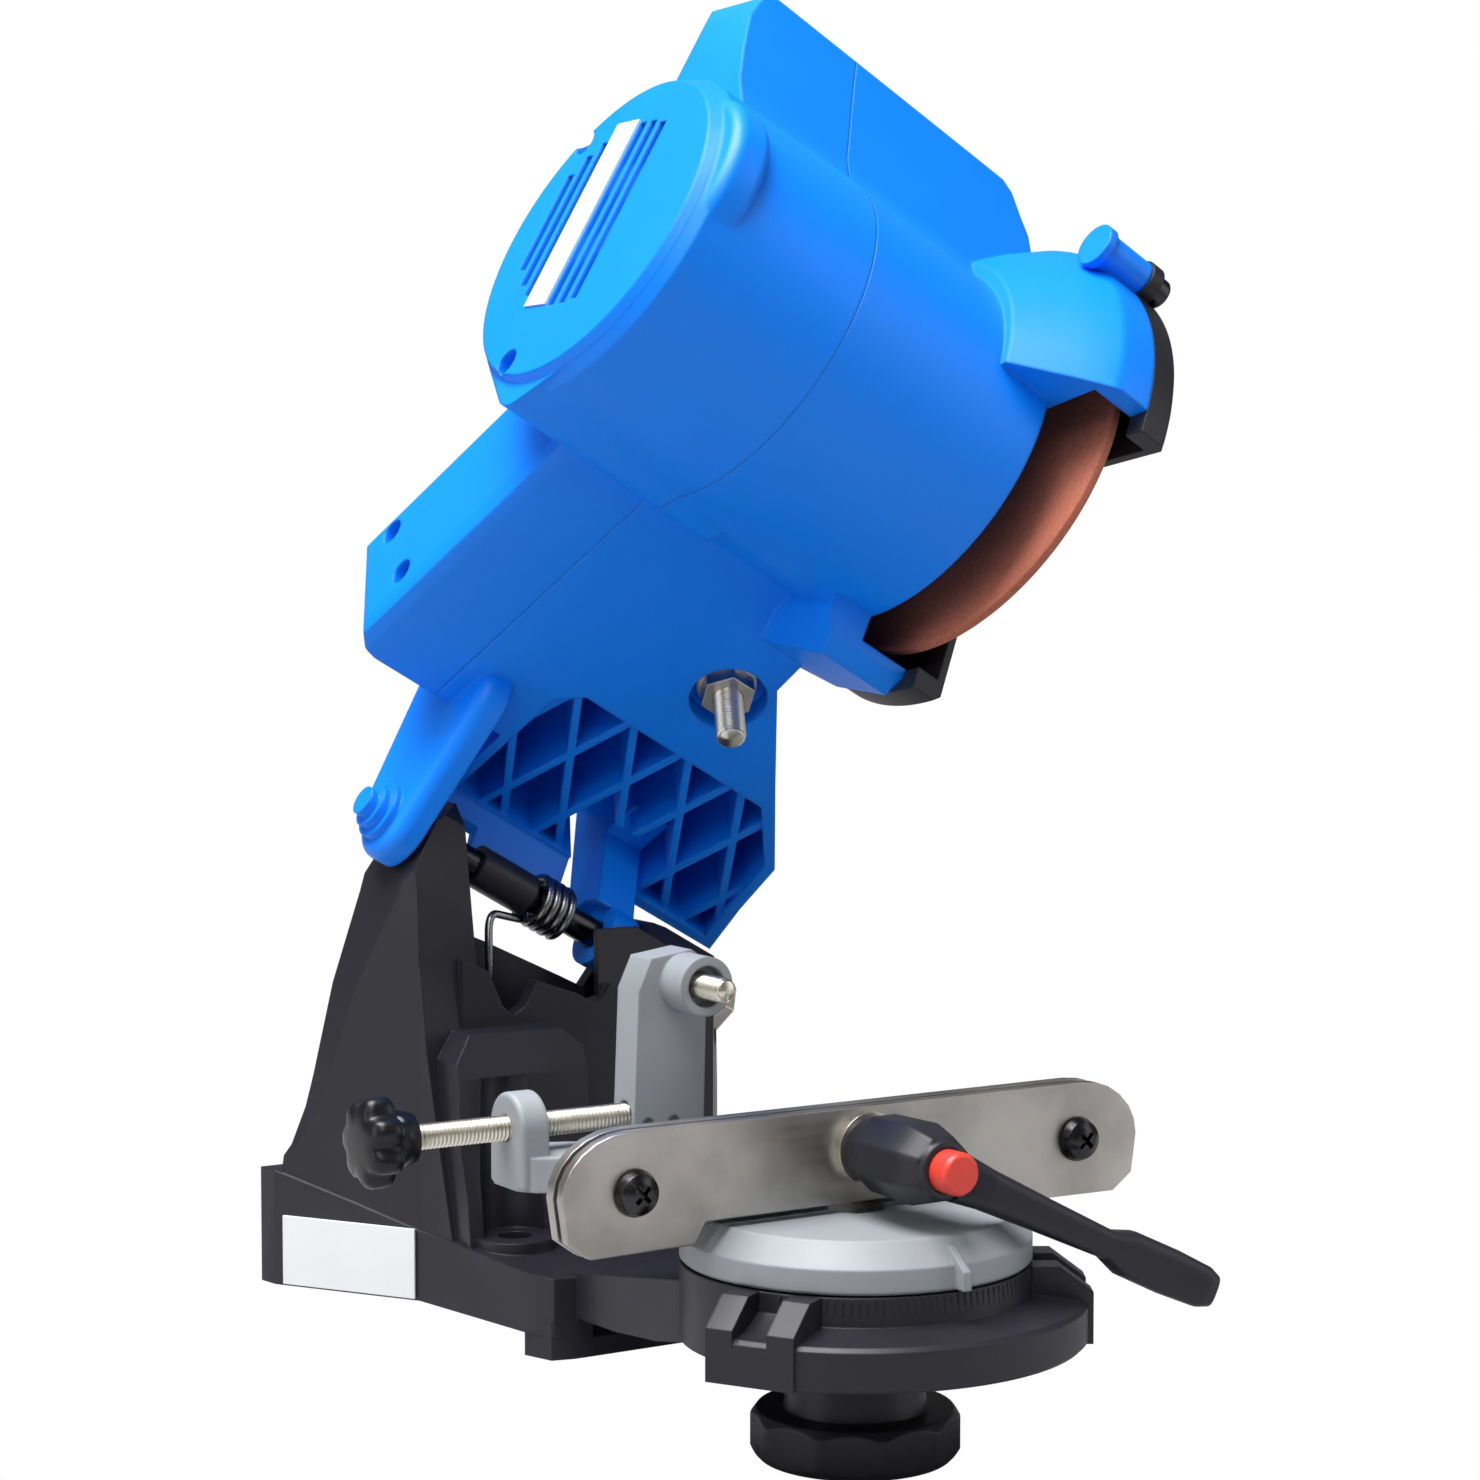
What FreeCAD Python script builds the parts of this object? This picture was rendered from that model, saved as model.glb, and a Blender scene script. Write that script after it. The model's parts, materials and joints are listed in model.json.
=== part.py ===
import FreeCAD, Part
import math
import os

# Electric chainsaw-chain sharpener: bench base, tilted pivot, swinging motor head with a
# grinding disc, and a swivelling chain vise.  Millimetres, +Z up.  The bench top is z = 0,
# the origin is midway between the two bench bolts and the operator stands at -Y.

V = FreeCAD.Vector

# ---------------------------------------------------------------- driving sizes: where things are
LINE_Y = -112.0             # front reference line, ahead of the bench bolts
SWIVEL_AHEAD = 5.0          # swivel axis of the vise, ahead of that line
TABLE_Y = LINE_Y - SWIVEL_AHEAD
AXLE_BACK = 146.0           # pivot axle behind the reference line
AXLE_Z = 100.0              # pivot axle height at x = 0
TILT = 30.0                 # the axle and the motor shaft both fall to the right by this angle
SHAFT_FWD = 78.5            # motor shaft in front of the axle, head raised
SHAFT_UP = 142.5            # motor shaft above the axle, head raised
ARM_LEAN = 45.9             # the arm leans forward by this angle, head raised

RUN = 0.05                  # running clearance on a radius
GAP = 0.4                   # air between pieces that move past one another
TINY = 0.01                 # touching faces stay this far apart
FAR = 400.0                 # past every surface, for slabs that trim or cut

# ---------------------------------------------------------------- driving sizes: grinding side
DISC_R = 52.5
DISC_T = 3.2
DISC_BORE = 22.2
DISC_S = 14.2               # near face of the disc along the shaft
SHAFT_R = 4.0
FLANGE_R = 16.0
DISC_ROOM = 5.5             # air between a new disc and the guard
GUARD_WALL = 6.0
GUARD_IN = DISC_R + DISC_ROOM
GUARD_R = GUARD_IN + GUARD_WALL
GUARD_FROM = 16.5           # the disc shows between these two angles (0 = forward, 90 = up)
GUARD_TO = 272.0
SLICE_FROM = -74.0          # the cover is cut away between these two angles
SLICE_TO = 11.0
COVER_S0 = 15.5
COVER_S1 = 24.8
HUB_S1 = 29.5               # the cover bulges this far over the shaft nut

# ---------------------------------------------------------------- driving sizes: shells
SEAM_S = -61.3
CAP_S = -112.0
MOTOR_R = 47.0
CAP_R = 45.5
BODY_FWD = 77.0             # centre of the motor barrel
BODY_UP = 138.0
ROOF = 226.0                # top of the switch housing
WALL = 2.6
ARM_FRONT = 18.8            # front face of the arm, behind the axle
ARM_BACK = 58.5
ARM_S = -89.3               # left side of the arm box
ARM_FOOT = 27.5             # lower end of the arm box, along the arm
STUD_S = -0.6               # depth stop, across and along the arm
STUD_D = 75.5
STUD_R = 4.0

# ---------------------------------------------------------------- driving sizes: motor
BEARING_R = 11.0
BEARING_W = 7.0
BEARING_S0 = -9.6
REAR_S0 = -103.6
STATOR_R = 34.0
ROTOR_R = 20.0
PLATE_S = -97.5             # brush plate, left face

# ---------------------------------------------------------------- driving sizes: base
TABLE_R = 54.2
TABLE_Z0 = 15.0
TABLE_Z1 = 25.0
BOSS_R = 41.0
BOSS_Z = 33.0
BOLT_X = 28.0               # bench bolts at +-BOLT_X
BOLT_R = 4.5
AXLE_R = 4.0
BASE_WALL = 4.0

# ---------------------------------------------------------------- driving sizes: vise
PLATE_Z0 = BOSS_Z + GAP
PLATE_BAND = 5.6
PLATE_TOP = 44.7
GUIDE_X = 79.5
GUIDE_T = 3.0
GUIDE_SLOT = 1.6            # chain drive links run in this slot
GUIDE_FRONT = -4.2          # front face of the front plate, from the swivel axis
GUIDE_OPEN = 0.5            # the front plate backs off by this much
GUIDE_SCREW_X = 61.3
GUIDE_SCREW_Z = 55.3
GUIDE_TOP = 69.0
LEVER_Z = 59.3
ROD_Y = 37.0                # adjusting screw behind the swivel axis
ROD_Z = 64.4
ROD_R = 3.0
CARRIER_X0 = -41.0
CARRIER_X1 = -22.0


# ---------------------------------------------------------------- shape helpers
def box(x0, x1, y0, y1, z0, z1):
    return Part.makeBox(x1 - x0, y1 - y0, z1 - z0, V(x0, y0, z0))


def soft_box(x0, x1, y0, y1, z0, z1, r):
    """Box with every edge rounded by r."""
    b = box(x0, x1, y0, y1, z0, z1)
    return b.makeFillet(r, b.Edges)


AXES = {"x": V(1, 0, 0), "y": V(0, 1, 0), "z": V(0, 0, 1)}


def at(axis, a, b, t):
    """Point whose two cross coordinates are a, b and whose place along the axis is t."""
    return {"x": V(t, a, b), "y": V(a, t, b), "z": V(a, b, t)}[axis]


def slab(axis, t0, t1):
    """Everything between two planes across the axis."""
    size = {k: (-FAR, FAR) for k in "xyz"}
    size[axis] = (t0, t1)
    return box(*size["x"], *size["y"], *size["z"])


def rod(axis, a, b, r, t0, t1):
    return Part.makeCylinder(r, t1 - t0, at(axis, a, b, t0), AXES[axis])


def cone(axis, a, b, r0, r1, t0, t1):
    return Part.makeCone(r0, r1, t1 - t0, at(axis, a, b, t0), AXES[axis])


def tube(axis, a, b, r_out, r_in, t0, t1):
    return rod(axis, a, b, r_out, t0, t1).cut(rod(axis, a, b, r_in, t0 - 1, t1 + 1))


def prism(axis, pts, t0, t1):
    """Closed polygon of cross coordinates, pushed along the axis."""
    ring = [at(axis, a, b, t0) for a, b in pts]
    face = Part.Face(Part.makePolygon(ring + [ring[0]]))
    return face.extrude(AXES[axis] * (t1 - t0))


def inset_prism(axis, pts, d, t0, t1):
    """The same prism with its outline moved inwards by d."""
    if not d:
        return prism(axis, pts, t0, t1)
    ring = [at(axis, a, b, t0) for a, b in pts]
    wire = Part.makePolygon(ring + [ring[0]])
    return Part.Face(wire.makeOffset2D(-d)).extrude(AXES[axis] * (t1 - t0))


def ngon(axis, a, b, flats, t0, t1, n=6, turn=0.0):
    r = flats / 2 / math.cos(math.pi / n)
    pts = []
    for k in range(n):
        w = math.radians(turn + 360.0 * k / n)
        pts.append((a + r * math.cos(w), b + r * math.sin(w)))
    return prism(axis, pts, t0, t1)


def spun(axis, a, b, rz):
    """Solid of revolution; rz lists (radius, place along the axis)."""
    side = AXES["y"] if axis != "y" else AXES["x"]
    base = at(axis, a, b, 0)
    ring = [base + side * r + AXES[axis] * t for r, t in rz]
    face = Part.Face(Part.makePolygon(ring + [ring[0]]))
    return face.revolve(base, AXES[axis], 360)


def threaded(axis, a, b, r, pitch, t0, t1):
    """Rod with one shallow groove per pitch and a small end chamfer."""
    deep = 0.45 * pitch
    rz = [(0.0, t0), (r - deep, t0)]
    turns = int((t1 - t0) / pitch)
    for k in range(turns):
        rz.append((r, t0 + (k + 0.5) * pitch))
        rz.append((r - deep, t0 + (k + 1.0) * pitch))
    rz += [(r - deep, t1), (0.0, t1)]
    return spun(axis, a, b, rz)


def pill(axis, a0, b0, r0, a1, b1, r1, t0, t1):
    """Two discs of different size and the straight sides that join them."""
    length = math.hypot(a1 - a0, b1 - b0)
    aim = math.atan2(b1 - b0, a1 - a0)
    open_ = math.acos((r0 - r1) / length)
    pts = []
    for a, b, r, sign in ((a0, b0, r0, 1), (a1, b1, r1, 1), (a1, b1, r1, -1), (a0, b0, r0, -1)):
        w = aim + sign * open_
        pts.append((a + r * math.cos(w), b + r * math.sin(w)))
    body = prism(axis, pts, t0, t1)
    return body.fuse([rod(axis, a0, b0, r0, t0, t1), rod(axis, a1, b1, r1, t0, t1)])


def fused(first, *rest):
    out = first.fuse(list(rest))
    return out.removeSplitter()


def group(shapes):
    return Part.makeCompound(shapes)


def turned(shape, centre, axis, angle):
    out = shape.copy()
    out.rotate(centre, axis, angle)
    return out


def head(shape):
    """From head axes (x along the axle, -y forward, z up) to the bench frame."""
    out = shape.copy()
    out.rotate(V(0, 0, 0), AXES["y"], TILT)
    out.translate(V(0, LINE_Y + AXLE_BACK, AXLE_Z))
    return out


def arm(shape):
    """From arm axes (x along the axle, y back through the arm, z along it) to head axes."""
    return turned(shape, V(0, 0, 0), AXES["x"], ARM_LEAN)


def back(y):
    """A distance behind the front reference line as a bench y."""
    return LINE_Y + y


# node name -> solid in the bench frame
NODES = {}

# ---------------------------------------------------------------- base casting
FLANK = [(28, 79.5), (33.5, 80.6), (37.2, 88), (45.3, 133), (70, 170.6), (71.2, 177)]
PLAN = [(-x, back(y)) for x, y in FLANK] + [(x, back(y)) for x, y in reversed(FLANK)]
DECK = [(79.5, 0), (79.5, 14.6), (108, 17), (133, 18.5), (152, 25), (171, 31), (177, 31), (177, 0)]
DECK = [(back(y), z) for y, z in DECK]
# profile of a tower seen along the axle: (forward, up) from the axle
TOWER = [(-15, -14), (-10, 6), (-5, 11), (5, 11), (10, 6), (12.5, -15), (12.8, -31), (15.5, -51),
         (20.5, -71), (27, -95), (27, -145), (-30, -145), (-20, -70)]
TOWER = [(-fwd, up) for fwd, up in TOWER]
SHOULDER = [(74, 8), (71, 31), (66, 38), (62.5, 48), (60.4, 57.7)]
LEFT = [(-x, z) for x, z in SHOULDER] + [(-55.7, 81.5), (-48.5, 106), (-47.4, 110.5),
                                         (-38.5, 126), (-30, 130), (-29, 100), (-27, 75), (-25, 8)]
RIGHT = [(10, 8), (9, 80), (9, 94.5), (30, 94.5), (53, 86), (56, 68)] + SHOULDER[::-1]


def tower(outline, d):
    """Where the outlines seen from the front, the side and above meet, all moved in by d."""
    front = inset_prism("y", outline, d, -FAR, FAR)
    side = inset_prism("x", TOWER, d, -FAR, FAR)
    standing = inset_prism("z", [(x * 0.985, y * 0.99) for x, y in PLAN], d, -FAR, FAR)
    return front.common(head(side)).common(standing)


deck = prism("z", PLAN, 0, 60).common(prism("x", DECK, -80, 80))
deck_hollow = inset_prism("z", PLAN, BASE_WALL, -1, 60).common(
    inset_prism("x", DECK, BASE_WALL, -80, 80))
deck_hollow.translate(V(0, 0, -BASE_WALL - 0.5))
lip = prism("z", [(-37, back(89.7)), (-34, back(81)), (-28, back(79.5)), (28, back(79.5)),
                  (34, back(81)), (37, back(89.7))], -6, 4)
left_tower = tower(LEFT, 0)
right_tower = tower(RIGHT, 0)

rear_wall = prism("y", [(-38, 12), (-38, 100), (-19, 92), (4, 81), (12, 77), (12, 12)],
                  back(147), back(153))
notched = [(-33, 12), (-33, 89.5), (-25.5, 86), (-21.5, 76.5), (-18, 73.8), (-14.5, 76), (-11, 82.5),
           (1.5, 78), (5.5, 75.5), (9, 76.5), (11.5, 80), (20, 76), (20, 12)]
front_wall = prism("y", notched, back(131), back(136))
console = prism("y", [(-41, 10), (-41, 64), (-36, 71), (-9, 71), (-3, 66), (-3, 10)],
                back(110), back(133))
console = console.common(prism("x", [(back(110), 0), (back(113), 28), (back(117), 42), (back(118), 60),
                                     (back(123), 74), (back(140), 74), (back(140), 0)], -60, 60))
console = console.cut(prism("x", [(back(122), -1), (back(123), 58), (back(126), 67),
                                  (back(130), 67), (back(130), -1)], -37, -7))

# the right tower leaves room behind its front wall for the hinge knuckle
knuckle_room = box(-24, 26.4, -9.6, 40, -20, 60)
right_tower = right_tower.cut(head(knuckle_room))

NECK_TOP = [(86, 14.6), (60, 19), (30, 24), (-20, 24)]
NECK_LOW = [(-20, TABLE_Z0 + 1), (15, TABLE_Z0 + 1), (24, 10), (40, 7), (60, 5), (86, 4)]
neck = prism("x", [(back(y), z) for y, z in NECK_LOW + NECK_TOP], -27.5, 27.5)


def sector(half, r, z0, z1):
    """Slice of the table in front of the swivel axis, half degrees to each side."""
    fan = [(0, TABLE_Y)]
    for k in (-2, -1, 0, 1, 2):
        w = math.radians(half * k / 2)
        fan.append((2 * TABLE_R * math.sin(w), TABLE_Y - 2 * TABLE_R * math.cos(w)))
    return prism("z", fan, z0, z1).common(rod("z", 0, TABLE_Y, r, z0, z1))


REST_AT = 59.0              # angle of each chain rest, from straight ahead
REST_HALF = 10.8            # half its width
flange = spun("z", 0, TABLE_Y, [(0, TABLE_Z0), (TABLE_R - 1, TABLE_Z0), (TABLE_R, TABLE_Z0 + 1),
                                (TABLE_R, TABLE_Z1 - 1), (TABLE_R - 1, TABLE_Z1),
                                (BOSS_R + 0.6, TABLE_Z1 + 1.4), (BOSS_R, BOSS_Z), (0, BOSS_Z)])
table = flange.common(sector(REST_AT + 7, TABLE_R + 1, 0, BOSS_Z + 1))
table = table.fuse(rod("z", 0, TABLE_Y, BOSS_R, TABLE_Z0, BOSS_Z))


def rest_block(angle):
    """Sloping block on the table rim with an open channel for the chain's free run."""
    b = prism("x", [(-BOSS_R + 1, TABLE_Z0), (-TABLE_R, TABLE_Z0), (-TABLE_R, TABLE_Z1 + 2),
                    (-TABLE_R + 8, BOSS_Z), (-BOSS_R + 1, BOSS_Z)], -REST_HALF, REST_HALF)
    b = b.cut(prism("x", [(-BOSS_R, BOSS_Z - 4.4), (-TABLE_R - 1, TABLE_Z1 - 2.5),
                          (-TABLE_R - 1, BOSS_Z + 1), (-BOSS_R, BOSS_Z + 1)], -4.2, 4.2))
    b = turned(b, V(0, 0, 0), AXES["z"], angle)
    b.translate(V(0, TABLE_Y, 0))
    return b


base = fused(deck, lip, left_tower, right_tower, rear_wall, front_wall, console, neck, table,
             rest_block(-REST_AT), rest_block(REST_AT))

for hollow in (deck_hollow, tower(LEFT, BASE_WALL), tower(RIGHT, BASE_WALL)):
    base = base.cut(hollow.common(box(-90, 90, back(83.5), back(175), -1, 150)))
base = base.cut(box(-23, 23, back(20), back(88), -1, 12))
table_web = rod("z", 0, TABLE_Y, BOSS_R - BASE_WALL, TABLE_Z0 - 1, TABLE_Z0 + 6)
table_web = table_web.fuse(sector(42, TABLE_R - BASE_WALL, TABLE_Z0 - 1, TABLE_Z0 + 6))
table_web = table_web.cut(rod("z", 0, TABLE_Y, 16, 0, TABLE_Z0 + 10))
base = base.cut(table_web.cut(box(-70, 70, back(30), back(90), 0, 40)))
PIVOT_R = 4.0
base = base.cut(rod("z", 0, TABLE_Y, PIVOT_R + RUN, 0, 60))

# bosses that carry the axle, kept solid for a tight bore
for s0, s1 in ((-46.5, -26), (27, 58)):
    boss = rod("x", 0, 0, 11, s0, s1)
    side = LEFT if s0 < 0 else RIGHT
    base = base.fuse(head(boss).common(tower(side, 0)))
NUT_S = 58.2
base = base.cut(head(rod("x", 0, 0, AXLE_R, -80, 80))).cut(head(rod("x", 0, 0, 10, NUT_S - TINY, 80)))

# bench bolt bosses and holes
for x in (-BOLT_X, BOLT_X):
    boss = rod("z", x, 0, 11, 0, 19.5)
    base = base.fuse(boss).cut(rod("z", x, 0, BOLT_R, -5, 60)).cut(rod("z", x, 0, 9, 19.5, 60))
base = base.cut(box(-90, 90, back(90), back(175), -20, 0))
NODES["base_casting"] = base.removeSplitter()

# blank name plate on the left flank
(far_x, far_y), (near_x, near_y) = PLAN[4], PLAN[3]
flank = math.degrees(math.atan2(far_y - near_y, near_x - far_x))
NAME_L = 41.0
NAME_H = 18.6
plate = Part.makeBox(NAME_L, 0.8, NAME_H, V(-NAME_L / 2, -0.8 - TINY, -NAME_H / 2))
plate = turned(plate, V(0, 0, 0), AXES["z"], -flank)
along = 0.52
plate.translate(V(far_x + (near_x - far_x) * along, far_y + (near_y - far_y) * along, 9.8))
NODES["name_plate"] = plate

# ---------------------------------------------------------------- pivot axle, sleeve, spring
AXLE_L0 = -57.0
AXLE_L1 = 64.0
axle = rod("x", 0, 0, AXLE_R - RUN, AXLE_L0, -47).fuse(rod("x", 0, 0, AXLE_R, -47, 58.5))
axle = axle.fuse(threaded("x", 0, 0, AXLE_R, 1.25, 58.4, AXLE_L1))
NODES["pivot_axle"] = head(axle.removeSplitter())
nut = ngon("x", 0, 0, 13, NUT_S + 1.6, NUT_S + 5.2).fuse(rod("x", 0, 0, 8, NUT_S, NUT_S + 1.6))
NODES["axle_nut"] = head(nut.cut(rod("x", 0, 0, AXLE_R, -90, 90)))
SLEEVE_R = 5.8
SLEEVE_S = (-25.6, -7.6)
NODES["axle_sleeve"] = head(tube("x", 0, 0, SLEEVE_R, AXLE_R + TINY, *SLEEVE_S))

WIRE = 1.1
COIL_R = 6.6
COILS = 4.0
COIL_S = -6.0
PITCH = 2.6
helix = Part.makeHelix(PITCH, PITCH * COILS, COIL_R)
start = Part.Wire(Part.makeCircle(WIRE, V(COIL_R, 0, 0), V(0, 1, 0)))
coil = Part.Wire(helix).makePipeShell([start], True, True)
coil.rotate(V(0, 0, 0), AXES["y"], 90)
coil.translate(V(COIL_S, 0, 0))
# both ends of the helix are at its underside; one leg goes to the base, one to the head
foot = V(COIL_S, 0.0, -COIL_R)
heel = V(COIL_S - 10.5, -2.0, -COIL_R - 2.9)
toe = V(COIL_S - 2.2, -8.2, -29.5)
leg_a = Part.makeCylinder(WIRE, (heel - foot).Length, foot, heel - foot)
leg_b = Part.makeCylinder(WIRE, (toe - heel).Length, heel, toe - heel)
leg_c = Part.makeCylinder(WIRE, 23, V(COIL_S + PITCH * COILS, 0.0, -COIL_R), V(0, 1, 0.5))
NODES["torsion_spring"] = head(coil.fuse([leg_a, leg_b, leg_c, Part.makeSphere(WIRE, heel)]))

# ---------------------------------------------------------------- head shells
BX = -BODY_FWD
BZ = BODY_UP
SX = -SHAFT_FWD
SZ = SHAFT_UP


DROP_PAST = 16.0            # the barrel's drop runs this far past the seam
LOBE_R = 26.0               # the cap's lobe: a wide round boss, centred LOBE_AT above forward
LOBE_PROUD = 4.5
LOBE_AT = math.radians(28.0)
LOBE_END = -97.5


def barrel(inset, s0, s1):
    """Motor barrel, a little slimmer towards the left cap, with a drop at its lower side."""
    s_mid = SEAM_S
    slim = cone("x", BX, BZ, CAP_R - inset, MOTOR_R - inset, CAP_S + 5, s_mid)
    full = rod("x", BX, BZ, MOTOR_R - inset, s_mid, 0)
    end = cone("x", BX, BZ, CAP_R - 3.5 - inset, CAP_R - inset, CAP_S + inset, CAP_S + 5)
    drop = pill("x", BX, BZ, CAP_R - 2 - inset, BX + 2, BZ - CAP_R + 4.5, 8.5 - inset,
                CAP_S + 2 + inset, s_mid + DROP_PAST)
    whole = fused(slim, full, end, drop)
    return whole.common(slab("x", s0, s1))


BOX_PLAN = [(-98, -130), (-98, -54), (-96, -44), (-91.5, -34), (-85, -27.5), (-79, -26), (-3, -26),
            (5, -28.5), (8, -36), (8, -130)]


def top_box(inset, s0, s1):
    """Switch housing on top of the barrel; its front face falls forward to the barrel."""
    i = inset
    pts = [(-20, 150), (-20, ROOF - 4 - i), (-30, ROOF - i), (-57, ROOF - i),
           (-63 + i, ROOF - 3 - i), (-67 + i, ROOF - 10 - i), (-83.5 + i, 190), (-91 + i, 182),
           (-101 + i, 176), (-110 + i, 168), (-110 + i, 150)]
    body = prism("x", pts, -98 + i, 8 - i)
    nose = prism("y", [(-98 + i, 150), (-98 + i, 200), (-97 + i, 212), (-93.5 + i, ROOF - 5.4 - i),
                       (-89, ROOF - 3.0 - i), (-75, ROOF - 2.0 - i), (-45, ROOF - i),
                       (-12, ROOF - i), (-3 - i, 221 - i), (4 - i, 211), (8 - i, 196),
                       (8 - i, 150)], -120, 0)
    body = body.common(nose).common(inset_prism("z", BOX_PLAN, i, 0, FAR))
    return body.common(slab("x", s0, s1))


# the arm across its length, with its left ridges bevelled
ARM_SECTION = [(ARM_S, ARM_FRONT + 5), (ARM_S + 1.5, ARM_FRONT + 1.5), (ARM_S + 5, ARM_FRONT),
               (80, ARM_FRONT), (80, ARM_BACK), (ARM_S + 5, ARM_BACK),
               (ARM_S + 1.5, ARM_BACK - 1.5), (ARM_S, ARM_BACK - 5)]


def arm_box(inset, s0, s1):
    """Closed upper part of the arm, in arm axes."""
    i = inset
    pts = [(ARM_S + i, ARM_FOOT + 8 + i), (ARM_S + 1.1 + i, ARM_FOOT + 4 + i),
           (ARM_S + 4 + i, ARM_FOOT + 1.1 + i), (ARM_S + 8 + i, ARM_FOOT + i),
           (-39 - i, ARM_FOOT + i), (-39 - i, 60), (36 - i, 54 + i), (7.5 - i, 86),
           (4 - i, 130), (ARM_S + i, 130)]
    body = prism("y", pts, ARM_FRONT + i, ARM_BACK - i)
    side = prism("x", [(ARM_FRONT + i, 20), (ARM_FRONT + i, 140), (ARM_BACK - i, 140),
                       (ARM_BACK - i, ARM_FOOT + 7), (ARM_BACK - 7, ARM_FOOT + i),
                       (ARM_FRONT + 8, 20)], -120, 80)
    section = inset_prism("z", ARM_SECTION, i, -FAR, FAR)
    return arm(body.common(side).common(section)).common(slab("x", s0, s1))


def shell_outer(s0, s1):
    out = CAP_R + LOBE_PROUD - LOBE_R
    lobe = rod("x", BX - out * math.cos(LOBE_AT), BZ + out * math.sin(LOBE_AT), LOBE_R,
               CAP_S + 3, LOBE_END)
    lobe = lobe.makeFillet(3.5, [e for e in lobe.Edges if e.Length > 6 * LOBE_R])
    return barrel(0, s0, s1).fuse([top_box(0, s0, s1), arm_box(0, s0, s1),
                                   lobe.common(slab("x", s0, s1))])


def shell_inner(s0, s1):
    return barrel(WALL, s0, s1).fuse([top_box(WALL, s0, s1), arm_box(WALL, s0, s1)])


# left shell
left = shell_outer(-130, SEAM_S).cut(shell_inner(-130, SEAM_S + 1))
STRIP_FWD = 68.0
for k in (-3, -2, -1, 1, 2, 3):
    fwd = STRIP_FWD + (abs(k) * 5.2 + 2.6) * (1 if k > 0 else -1)
    half = 0.86 * math.sqrt(33.0 ** 2 - (fwd - BODY_FWD) ** 2) - 2
    slot = box(CAP_S - 2, CAP_S + 8, -fwd - 1.5, -fwd + 1.5, BZ + 4 - half, BZ + 4 + half)
    left = left.cut(slot)

nest = tube("x", SX, SZ, BEARING_R + 3, BEARING_R, REAR_S0 - 1, REAR_S0 + BEARING_W)
nest = nest.fuse(tube("x", SX, SZ, BEARING_R + 3, 7, CAP_S + 1.5, REAR_S0))
left = left.fuse(nest).cut(rod("x", SX, SZ, BEARING_R, REAR_S0, -61))

# pillars with sunk heads: (y, z) in head axes and the sunk face
SCREWS = [(BX + 9, BZ - CAP_R + 7.5, CAP_S + 5), (-40, ROOF - 14, -89),
          (BX + 0.64 * CAP_R, BZ + 0.615 * CAP_R, CAP_S + 5)]
for d, b in ((43.9, 49.4), (48.4, 28.4)):
    lean = math.radians(ARM_LEAN)
    SCREWS.append((b * math.cos(lean) - d * math.sin(lean), b * math.sin(lean) + d * math.cos(lean),
                   ARM_S + 4))
SCREW_R = 1.6
HEAD_R = 3.2
PILLAR_R = 4.2
PILOT = 14.0


def pillar(y, z, s0, s1):
    """Screw pillar with a rib to the wall, clear of the motor."""
    p = rod("x", y, z, PILLAR_R, s0, s1).fuse(box(s0, s1, y - 1.2, y + 1.2, z - 9, z + 12))
    return p.common(shell_outer(s0, s1)).cut(rod("x", SX, SZ, STATOR_R + TINY, PLATE_S, 0))


left = left.fuse(tube("x", SX, SZ, 60, 29, PLATE_S - 2, PLATE_S - TINY).common(barrel(1, -130, SEAM_S)))
for y, z, face in SCREWS:
    left = left.fuse(pillar(y, z, -130, SEAM_S))
    left = left.cut(rod("x", y, z, HEAD_R + 0.4, -130, face + 2.5))
    left = left.cut(rod("x", y, z, SCREW_R + 0.2, -130, 0))
NODES["left_shell"] = head(left.removeSplitter())

# right housing: barrel, guard, arm, ribbed web, hinge lug and knuckle
right = shell_outer(SEAM_S + TINY, 60)
guard = spun("x", SX, SZ, [(30, -17), (GUARD_R - 18, -17), (GUARD_R - 7, -4), (GUARD_R - 1, 4),
                           (GUARD_R, 6), (GUARD_R, COVER_S0 - TINY), (30, COVER_S0 - TINY)])


def by_shaft(r, angle):
    """Point at radius r round the motor shaft (0 = forward, 90 = up)."""
    w = math.radians(angle)
    return SX - r * math.cos(w), SZ + r * math.sin(w)


def fan_cut(a0, a1, s0, s1):
    """Slice between two angles round the shaft, as a prism that reaches past the guard."""
    pts = [(SX, SZ)]
    steps = 12
    for k in range(steps + 1):
        pts.append(by_shaft(1.4 * GUARD_R, a0 + (a1 - a0) * k / steps))
    return prism("x", pts, s0, s1)


right = right.fuse(guard.cut(fan_cut(GUARD_TO - 360, GUARD_FROM, -20, 40)))

# block that closes the guard at its lower end
LOW = SZ - GUARD_R
foot_block = prism("x", [(-32, LOW + 13.5), (-38, LOW + 6.5), (-62, LOW + 1), (-86, LOW - 0.5),
                         (-90, LOW + 4.5), (-88, LOW + 16.5), (-72, LOW + 33.5),
                         (-40, LOW + 33.5)], -12, COVER_S0 - TINY)
right = right.fuse(foot_block.common(prism("y", [(-12, LOW + 41.5), (-12, LOW + 9.5),
                                                 (-6, LOW - 2.5), (COVER_S0, LOW - 2.5),
                                                 (COVER_S0, LOW + 41.5)], -120, 0)))
BOLT = by_shaft(GUARD_R + 3.1, 61.5)
SIDE = by_shaft(GUARD_R - 2.7, 205.1)
right = right.fuse([rod("x", BOLT[0], BOLT[1], 4.9, -1, COVER_S0 - TINY),
                    rod("x", BOLT[0], BOLT[1], 5.9, -1, 1.5)])

# the hollow for the disc; nothing stands in front of it between the guard's two ends
DISC_S0 = 2.5
right = right.cut(rod("x", SX, SZ, GUARD_IN, DISC_S0, 40))
right = right.cut(fan_cut(GUARD_TO - 358, GUARD_FROM - 1, 0, 40).common(
    rod("x", SX, SZ, GUARD_IN, 0, 40)))

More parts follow.
